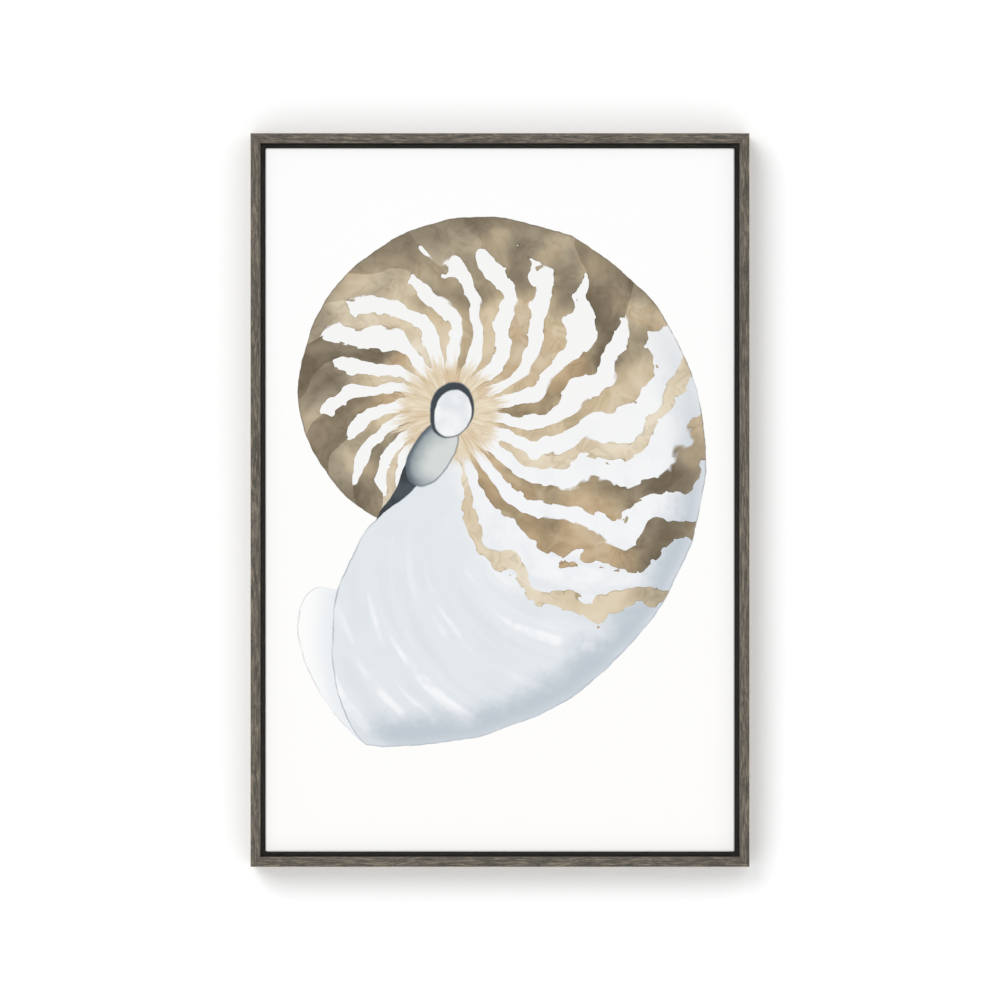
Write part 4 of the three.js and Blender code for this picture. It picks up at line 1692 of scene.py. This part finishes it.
@dataclass
class Screw:
    """A cross-headed wood screw whose axis is parallel to y.

    Args:
        head: The kind of head.
        radius: The head's radius.
        height: The head's height.
        shank: The shank's radius.
        length: Length below the head's seat, or from its top where it is countersunk.
        recess: Length and width of the cross, and its depth.
        core: The radius between threads, as a share of the shank's.
        pitch: Distance between threads.
        point: Length of the pointed end.
        thread: Where a thread's foot, crest and second foot lie in its pitch, in shares of it.
        lip: Height of a countersunk head's straight edge.
        bow: Angles from the axis, in degrees, of the rings that round a pan head over.
        dome: Share of a pan head's height that is rounded.
        taper: Size of the cross's floor, as a share of its mouth's.
        sides: Facets round the screw.
    """

    head: ScrewHead
    radius: float
    height: float
    shank: float
    length: float
    recess: tuple[float, float, float] = (0.0038, 0.00095, 0.0014)
    core: float = 0.7
    pitch: float = 0.0016
    point: float = 0.003
    thread: tuple[float, float, float] = (0.5, 0.8, 1.1)
    lip: float = 0.00025
    bow: tuple[float, ...] = (43, 54, 69, 83)
    dome: float = 0.75
    taper: float = 0.6
    sides: int = 20

    def shape(self) -> BMesh:
        """Build the screw, its head's top on y = 0 and its point towards -y.

        Returns:
            The closed shape.
        """
        seat, core = -self.height, self.shank * self.core
        if self.head is ScrewHead.COUNTERSUNK:
            tip = -self.length
            crown = [(self.radius, 0.0), (self.radius, -self.lip)]
        else:
            tip = seat - self.length
            bow = [math.radians(angle) for angle in self.bow]
            crown = [(self.radius * math.sin(a), seat * self.dome * (1 - math.cos(a))) for a in bow]
            crown.append((self.radius, seat))
        profile = [*crown, (self.shank, seat)]
        for turn in range(max(1, int((seat - tip - self.point) / self.pitch))):
            levels = [seat - self.pitch * (turn + share) for share in self.thread]
            profile += zip((core, self.shank, core), levels)
        screw = turned((*profile, (core, tip + self.point), (0.0, tip)), self.sides)
        self.cross(screw)
        top = max(v.co.y for v in screw.verts)
        bmesh.ops.translate(screw, verts=screw.verts, vec=(0, -top, 0))
        return screw

    def cross(self, screw: BMesh) -> None:
        """Sink the cross into the head's flat top.

        Args:
            screw: The screw, its point towards -y.
        """
        length, width, depth = self.recess
        level = max(f.calc_center_median().y for f in screw.faces if f.normal.y > FACING)

        def top_faces() -> list[BMFace]:
            """The faces of the head's flat top."""
            flat = [f for f in screw.faces if f.normal.y > FACING]
            return [f for f in flat if abs(f.calc_center_median().y - level) < NEAR]

        for way in ((1, 0, 0), (0, 0, 1)):
            for offset in (-length / 2, -width / 2, width / 2, length / 2):
                parts = unique(p for f in top_faces() for p in (f, *f.edges, *f.verts))
                bmesh.ops.bisect_plane(screw, geom=parts, dist=CUT_MERGE, plane_co=Vector(way) * offset,
                                       plane_no=way)
        arms = []
        for face in top_faces():
            place = face.calc_center_median()
            near, far = sorted((abs(place.x), abs(place.z)))
            if near < width / 2 and far < length / 2:
                arms.append(face)
        floor = pushed(screw, arms, (0, -depth, 0))
        bmesh.ops.scale(screw, verts=floor, vec=(self.taper, 1, self.taper))
        bmesh.ops.recalc_face_normals(screw, faces=screw.faces)


@dataclass
class CornerNail:
    """A V-nail of thin steel, driven across a mitre.

    Args:
        leg: Length of each wing.
        half_angle: Half the angle between the wings.
        depth: How far it reaches into the wood.
        thick: Thickness of the steel.
        curl: How far a wing's end is turned, along x and back across.
        proud: How far it stands out of the wood.
        inset: From both outer faces of the corner to its apex.
        edge_round: Rounding of the edges that stand out.
    """

    leg: float = 0.0046
    half_angle: float = math.radians(58)
    depth: float = 0.010
    thick: float = 0.0006
    curl: tuple[float, float] = (0.0007, 0.0002)
    proud: float = 0.00015
    inset: float = 0.0071
    edge_round: float = 0.00012

    def shape(self) -> BMesh:
        """Build it with its apex on the y axis, opening towards +x, its wings' ends curled back.

        Returns:
            The closed shape.
        """
        nail = bmesh.new()
        wing = Vector((math.cos(self.half_angle), 0, math.sin(self.half_angle))) * self.leg
        end = wing + Vector((self.curl[0], 0, -self.curl[1]))
        points = [Vector((end.x, 0, -end.z)), Vector((wing.x, 0, -wing.z)), Vector(), wing, end]
        verts = [nail.verts.new(p + Vector((0, self.proud, 0))) for p in points]
        edges = [nail.edges.new(pair) for pair in zip(verts, verts[1:])]
        grown = bmesh.ops.extrude_edge_only(nail, edges=edges)["geom"]
        bmesh.ops.translate(nail, verts=picked(grown, BMVert), vec=(0, -self.depth, 0))
        bmesh.ops.recalc_face_normals(nail, faces=nail.faces)
        bmesh.ops.solidify(nail, geom=list(nail.faces), thickness=self.thick)
        bmesh.ops.recalc_face_normals(nail, faces=nail.faces)
        crest = [e for e in nail.edges if all(v.co.y > 0 for v in e.verts)]
        rounded(nail, crest, self.edge_round, segments=1)
        return nail

    def build(self, steel: bpy.types.Material) -> list[bpy.types.Object]:
        """Build and dress the nails of the four corners.

        Args:
            steel: Their finish.

        Returns:
            The nails.
        """
        pieces = []
        middle, width, height = span_of("frame_rail")
        for up, rise in (("top", 1), ("bottom", -1)):
            for hand, reach in (("left", -1), ("right", 1)):
                inwards = Vector((-reach, 0, -rise))
                corner = middle + Vector((reach * width / 2, 0, rise * height / 2))
                nail = self.shape()
                spin = Matrix.Rotation(math.atan2(rise, -reach), 4, "Y")
                place = Matrix.Translation(corner + inwards * self.inset) @ spin
                bmesh.ops.transform(nail, matrix=place, verts=nail.verts)
                piece = finished(f"v_nail_{up}_{hand}", nail, [steel])
                pieces.append(fitted(piece, "bright_steel", f"corner_v_nail_{up}_{hand}"))
        return pieces


@dataclass
class Staples:
    """The staples along the folded cloth, in one piece.

    Args:
        wide: Length of a crown.
        wire: Width of the wire.
        thick: Thickness of the wire.
        leg: Length of a leg.
        lift: From the cloth to the middle of the crown's thickness.
        bend: Rounding where the crown turns into a leg.
        spacing: Rough distance between staples.
        clear: From the canvas's corners to the first staple.
        inset: From the canvas's outer face to the crowns.
        stray: How far a staple is off its place, along the fold and across it.
        twist: How far a staple is turned from the fold's line.
        seed: Seed of the hand's small errors.
    """

    wide: float = 0.0098
    wire: float = 0.0011
    thick: float = 0.0005
    leg: float = 0.004
    lift: float = 0.00015
    bend: float = 0.00035
    spacing: float = 0.062
    clear: float = 0.045
    inset: float = 0.0245
    stray: tuple[float, float] = (0.004, 0.0008)
    twist: float = math.radians(8)
    seed: int = 24

    def shape(self) -> BMesh:
        """Build one staple: a flat crown along x, bent down into two legs.

        Returns:
            The closed shape.
        """
        shape = bmesh.new()
        stock = Matrix.Diagonal((self.wide, self.thick, self.wire, 1))
        bmesh.ops.create_cube(shape, size=1.0, matrix=Matrix.Translation((0, self.lift, 0)) @ stock)
        shoulder = self.wide / 2 - self.thick
        for way in (-1, 1):
            bmesh.ops.bisect_plane(shape, geom=everything(shape), dist=CUT_MERGE,
                                   plane_co=(way * shoulder, 0, 0), plane_no=(1, 0, 0))
        feet = [f for f in shape.faces
                if f.normal.y < -FACING and abs(f.calc_center_median().x) > shoulder]
        pushed(shape, feet, (0, -self.leg, 0))
        bmesh.ops.recalc_face_normals(shape, faces=shape.faces)
        bends = [e for e in shape.edges
                 if all(abs(v.co.x) > self.wide / 2 - NEAR and v.co.y > 0 for v in e.verts)]
        rounded(shape, bends, self.bend)
        return shape

    def build(self, steel: bpy.types.Material) -> bpy.types.Object:
        """Set the staples round the four folds and dress them.

        Args:
            steel: Their finish.

        Returns:
            The piece.
        """
        low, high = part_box("canvas")
        middle = (low + high) / 2
        dice = random.Random(self.seed)
        single = bpy.data.meshes.new("staple")
        stamp = self.shape()
        stamp.to_mesh(single)
        stamp.free()
        row = bmesh.new()
        for side in Side:
            across = side.grain is Grain.ACROSS
            length, reach = (high.x - low.x, high.z - low.z) if across else (high.z - low.z, high.x - low.x)
            run = length - 2 * self.clear
            count = round(run / self.spacing)
            for i in range(count + 1):
                x = -run / 2 + run * i / count + dice.uniform(-1, 1) * self.stray[0]
                spot = Matrix.Translation((x, high.y, -self.inset + dice.uniform(-1, 1) * self.stray[1]))
                twist = Matrix.Rotation(dice.uniform(-1, 1) * self.twist, 4, "Y")
                first = len(row.verts)
                row.from_mesh(single)
                row.verts.ensure_lookup_table()
                bmesh.ops.transform(row, matrix=side_place(side, reach / 2, middle) @ spot @ twist,
                                    verts=row.verts[first:])
        bpy.data.meshes.remove(single)
        return fitted(finished("staples", row, [steel]), "bright_steel")


@dataclass
class SoftPads:
    """The two domed rubber pads that keep the frame's bottom off the wall.

    Args:
        skirt: Height of the straight side, as a share of the pad's height.
        foot: The foot's radius and the height where it is full, as shares of the pad's.
        crown: The flat top's radius, as a share of the pad's.
        steps: Rings that round the dome over.
        step: Angle between them.
        sides: Facets round a pad.
    """

    skirt: float = 0.62
    foot: tuple[float, float] = (0.97, 0.1)
    crown: float = 0.15
    steps: int = 5
    step: float = math.radians(17)
    sides: int = 40

    def build(self, rubber: bpy.types.Material) -> list[bpy.types.Object]:
        """Build and dress the pads.

        Args:
            rubber: Their finish.

        Returns:
            The pads.
        """
        pieces = []
        for word in ("left", "right"):
            node = f"wall_bumper_{word}"
            low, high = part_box(node)
            radius, height = (high.x - low.x) / 2, high.y - low.y
            dome = []
            for number in range(self.steps):
                angle = self.step * number
                level = self.skirt + (1 - self.skirt) * math.sin(angle)
                dome.append((radius * math.cos(angle), height * level))
            foot = ((radius * self.foot[0], 0.0), (radius, height * self.foot[1]))
            top = ((radius * self.crown, height), (0.0, height))
            pad = turned((*foot, *dome, *top), self.sides)
            place = Matrix.Translation(((low.x + high.x) / 2, low.y, (low.z + high.z) / 2))
            bmesh.ops.transform(pad, matrix=place, verts=pad.verts)
            pieces.append(fitted(finished(f"soft_pad_{word}", pad, [rubber]), "bumper_rubber", node))
        return pieces


@dataclass
class Fixings:
    """Everything metal or rubber on the back.

    Args:
        canvas_screw: The screw that holds the canvas in.
        hanger_screw: The screw that holds the hanger.
        turn: How far each screw's cross is turned from the one before.
    """

    canvas_screw: Screw = field(default_factory=lambda: Screw(
        ScrewHead.COUNTERSUNK, radius=0.0036, height=0.0022, shank=0.00175, length=0.025))
    hanger_screw: Screw = field(default_factory=lambda: Screw(
        ScrewHead.PAN, radius=0.0032, height=0.0017, shank=0.0015, length=0.0056,
        recess=(0.0030, 0.0008, 0.0009)))
    turn: float = math.radians(37)

    def build(self) -> list[bpy.types.Object]:
        """Build and dress the screws, corner nails, hanger, pads and staples.

        Returns:
            The pieces.
        """
        zinc = PlatedSteel("zinc_plate", "c9c6ba", "9d9a90", roughness=0.28).material()
        steel = PlatedSteel("bright_plate", "bfc0c2", "8d8e90", roughness=0.24).material()
        rubber = BumperRubber().material()
        screws = [self.driven(self.canvas_screw, zinc, f"cross_screw_{n}", f"canvas_screw_{n}", n)
                  for n in range(1, 9)]
        screws += [self.driven(self.hanger_screw, zinc, f"pan_screw_{word}", f"hanger_screw_{word}", n)
                   for n, word in enumerate(("left", "right"), 9)]
        return [*screws, *CornerNail().build(steel), Hanger().build(steel), *SoftPads().build(rubber),
                Staples().build(steel)]

    def driven(
        self, screw: Screw, zinc: bpy.types.Material, name: str, node: str, number: int
    ) -> bpy.types.Object:
        """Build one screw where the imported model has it.

        Args:
            screw: The kind of screw.
            zinc: Its finish.
            name: The piece's name.
            node: The node it stands for.
            number: Its number, which turns its cross.

        Returns:
            The screw.
        """
        low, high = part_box(node)
        shape = screw.shape()
        place = Matrix.Translation(((low.x + high.x) / 2, high.y, (low.z + high.z) / 2))
        spin = Matrix.Rotation(self.turn * number, 4, "Y")
        bmesh.ops.transform(shape, matrix=place @ spin, verts=shape.verts)
        return fitted(finished(name, shape, [zinc]), "zinc_screw", node)


@dataclass
class Hanger:
    """A strip of plated steel with a row of teeth, its middle bent clear of the frame.

    Args:
        thick: Thickness of the steel.
        tooth: Half the distance between notches.
        deep: Depth of a notch.
        teeth: Notches on each side of the middle one.
        tab: Length of each flat end.
        rise: How far the middle is raised.
        rows: Rows of facets across the strip.
        rib: How far the stiffening rib along the top stands up.
        rib_band: Where the rib lies, in shares of the height down from the top.
        corner: Rounding of the four corners.
        edge_round: Rounding of the edges.
        edge_turn: Edges that turn more than this are rounded.
    """

    thick: float = 0.0012
    tooth: float = 0.0025
    deep: float = 0.0025
    teeth: int = 5
    tab: float = 0.0145
    rise: float = 0.0013
    rows: int = 5
    rib: float = 0.0002
    rib_band: tuple[float, float] = (0.12, 0.25)
    corner: float = 0.0022
    edge_round: float = 0.00018
    edge_turn: float = math.radians(50)

    def blank(self, low: Vector, high: Vector) -> BMesh:
        """Cut the strip, its teeth and its round corners out of thin sheet.

        Args:
            low: The hanger's lowest corner.
            high: Its highest corner.

        Returns:
            The open strip, its middle raised.
        """
        height, flat = high.z - low.z, (high.x - low.x) / 2 - self.tab
        notches = 2 * self.teeth + 1
        toothed = self.tooth * notches
        strip = bmesh.new()
        upright = Matrix.Translation((0, low.y, low.z + height / 2)) @ Matrix.Rotation(math.pi / 2, 4, "X")
        bmesh.ops.create_grid(strip, x_segments=2 * notches, y_segments=self.rows, size=1.0,
                              matrix=upright @ Matrix.Diagonal((toothed, height / 2, 1, 1)))
        for vert in strip.verts:
            if vert.co.z < low.z + NEAR and round(vert.co.x / self.tooth) % 2 == 0:
                vert.co.z += self.deep
        for way in (-1, 1):
            for reach in (flat - toothed, self.tab):
                edge = max(way * v.co.x for v in strip.verts)
                ends = [e for e in strip.edges if all(way * v.co.x > edge - NEAR for v in e.verts)]
                grown = bmesh.ops.extrude_edge_only(strip, edges=ends)["geom"]
                bmesh.ops.translate(strip, verts=picked(grown, BMVert), vec=(way * reach, 0, 0))
        middle = [v for v in strip.verts if abs(v.co.x) < toothed + NEAR]
        bmesh.ops.translate(strip, verts=middle, vec=(0, self.rise, 0))
        corners = [v for v in strip.verts if len(v.link_edges) == 2 and abs(v.co.x) > flat + self.tab / 2]
        bmesh.ops.bevel(strip, geom=corners, offset=self.corner, offset_type="OFFSET", segments=4,
                        profile=0.5, affect="VERTICES", material=-1)
        return strip

    def build(self, steel: bpy.types.Material) -> bpy.types.Object:
        """Build and dress the hanger.

        Args:
            steel: Its finish.

        Returns:
            The hanger.
        """
        low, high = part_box("sawtooth_hanger")
        strip = self.blank(low, high)
        bmesh.ops.recalc_face_normals(strip, faces=strip.faces)
        if sum(f.normal.y for f in strip.faces) > 0:
            bmesh.ops.reverse_faces(strip, faces=strip.faces)
        bmesh.ops.solidify(strip, geom=list(strip.faces), thickness=self.thick)
        bmesh.ops.recalc_face_normals(strip, faces=strip.faces)
        crest = []
        for vert in strip.verts:
            fall = (high.z - vert.co.z) / (high.z - low.z)
            raised = vert.co.y > low.y + self.rise + self.thick / 2
            in_band = self.rib_band[0] < fall < self.rib_band[1]
            if raised and in_band and abs(vert.co.x) < self.tooth * (2 * self.teeth + 1):
                crest.append(vert)
        bmesh.ops.translate(strip, verts=crest, vec=(0, self.rib, 0))
        rim = [e for e in strip.edges if e.calc_face_angle(0.0) > self.edge_turn]
        rounded(strip, rim, self.edge_round)
        return fitted(finished("saw_hanger", strip, [steel]), "bright_steel", "sawtooth_hanger")


# ---------------------------------------------------------------- stage


@dataclass
class Studio:
    """A pale floor and wall, an even white surround, one soft key light and the camera.

    Args:
        floor_drop: From the picture's middle down to the floor.
        wall_gap: Between the bumpers and the wall.
        extent: Half the width of the floor and wall.
        surround: Brightness of the white surround.
        key: Strength of the key light.
        key_spread: The key light's angular size, in degrees.
        key_way: The way the key light travels.
        lens: The camera's focal length, in millimetres.
        frame_share: Share of the view's height that the frame fills.
        clip: The nearest and farthest distances that the camera sees.
    """

    floor_drop: float = 1.15
    wall_gap: float = 0.0002
    extent: float = 2.6
    surround: float = 0.87
    key: float = 1.0
    key_spread: float = 36.0
    key_way: tuple[float, float, float] = (0.64, 1.0, -0.74)
    lens: float = 200.0
    frame_share: float = 0.7337
    clip: tuple[float, float] = (0.01, 60.0)

    def plaster(self, name: str, one_sided: bool) -> bpy.types.Material:
        """A plain pale finish for the floor or the wall.

        Args:
            name: Its name.
            one_sided: Whether it is seen only from its front.

        Returns:
            The material.
        """
        s = Shader(name)
        x, y, z = s.place()
        mottle = s.noise(x, z, y, size=0.4, seed=51.0)
        colour = s.blend(s.ramp(mottle, 0.3, 0.7), "fdfdfd", "fefefe")
        material = s.dress(colour, 0.9)
        if one_sided:
            surface = next(n for n in s.tree.nodes if n.type == "BSDF_PRINCIPLED")
            output = next(n for n in s.tree.nodes if n.type == "OUTPUT_MATERIAL")
            clear, sides, facing = s.node("BsdfTransparent"), s.node("MixShader"), s.node("NewGeometry")
            s.tree.links.new(facing.outputs["Backfacing"], sides.inputs[0])
            s.tree.links.new(surface.outputs[0], sides.inputs[1])
            s.tree.links.new(clear.outputs[0], sides.inputs[2])
            s.tree.links.new(sides.outputs[0], output.inputs["Surface"])
        return material

    def plane(self, name: str, place: Matrix, material: bpy.types.Material) -> bpy.types.Object:
        """Build one flat surface of the stage.

        Args:
            name: Its name.
            place: Where it lies.
            material: Its finish.

        Returns:
            The surface.
        """
        shape = bmesh.new()
        bmesh.ops.create_grid(shape, x_segments=1, y_segments=1, size=self.extent, matrix=place)
        piece = finished(name, shape, [material])
        return piece

    def build(self) -> None:
        """Set up the stage, the lights and the camera."""
        low, high = CAD_BOX
        middle = (low + high) / 2
        foot = middle.z - self.floor_drop
        self.plane("pale_floor", Matrix.Translation((0, 0, foot)), self.plaster("pale_floor", False))
        upright = Matrix.Translation((0, high.y + self.wall_gap, foot + self.extent))
        upright = upright @ Matrix.Rotation(math.pi / 2, 4, "X")
        wall = self.plane("pale_wall", upright, self.plaster("pale_wall", True))
        wall.visible_diffuse = wall.visible_glossy = wall.visible_transmission = wall.visible_shadow = False

        scene = bpy.context.scene
        scene.view_settings.view_transform = "Standard"
        world = bpy.data.worlds.new("white_surround")
        world.use_nodes = True
        scene.world = world
        sky = world.node_tree.nodes["Background"]
        sky.inputs["Color"].default_value = (1, 1, 1, 1)
        sky.inputs["Strength"].default_value = self.surround

        sun = bpy.data.lights.new("soft_key", "SUN")
        sun.energy, sun.angle = self.key, math.radians(self.key_spread)
        key = bpy.data.objects.new("soft_key", sun)
        key.rotation_mode = "QUATERNION"
        key.rotation_quaternion = Vector(self.key_way).to_track_quat("-Z", "Y")
        scene.collection.objects.link(key)

        lens = bpy.data.cameras.new("camera")
        lens.lens = self.lens
        camera = bpy.data.objects.new("camera", lens)
        seen = (high.z - low.z) / self.frame_share
        away = seen * self.lens / lens.sensor_width
        camera.location = (middle.x, low.y - away, middle.z)
        camera.rotation_euler = (math.pi / 2, 0, 0)
        lens.clip_start, lens.clip_end = self.clip
        scene.collection.objects.link(camera)
        scene.camera = camera


def main() -> None:
    """Build the picture's pieces in order, then the studio."""
    logging.basicConfig(level=logging.INFO, format="%(message)s")
    pieces = FloaterFrame().build() + Stretcher().build() + [StretchedCanvas().build()] + Fixings().build()
    LOG.info("%d pieces in all", len(pieces))
    Studio().build()


if __name__ == "__main__":
    main()
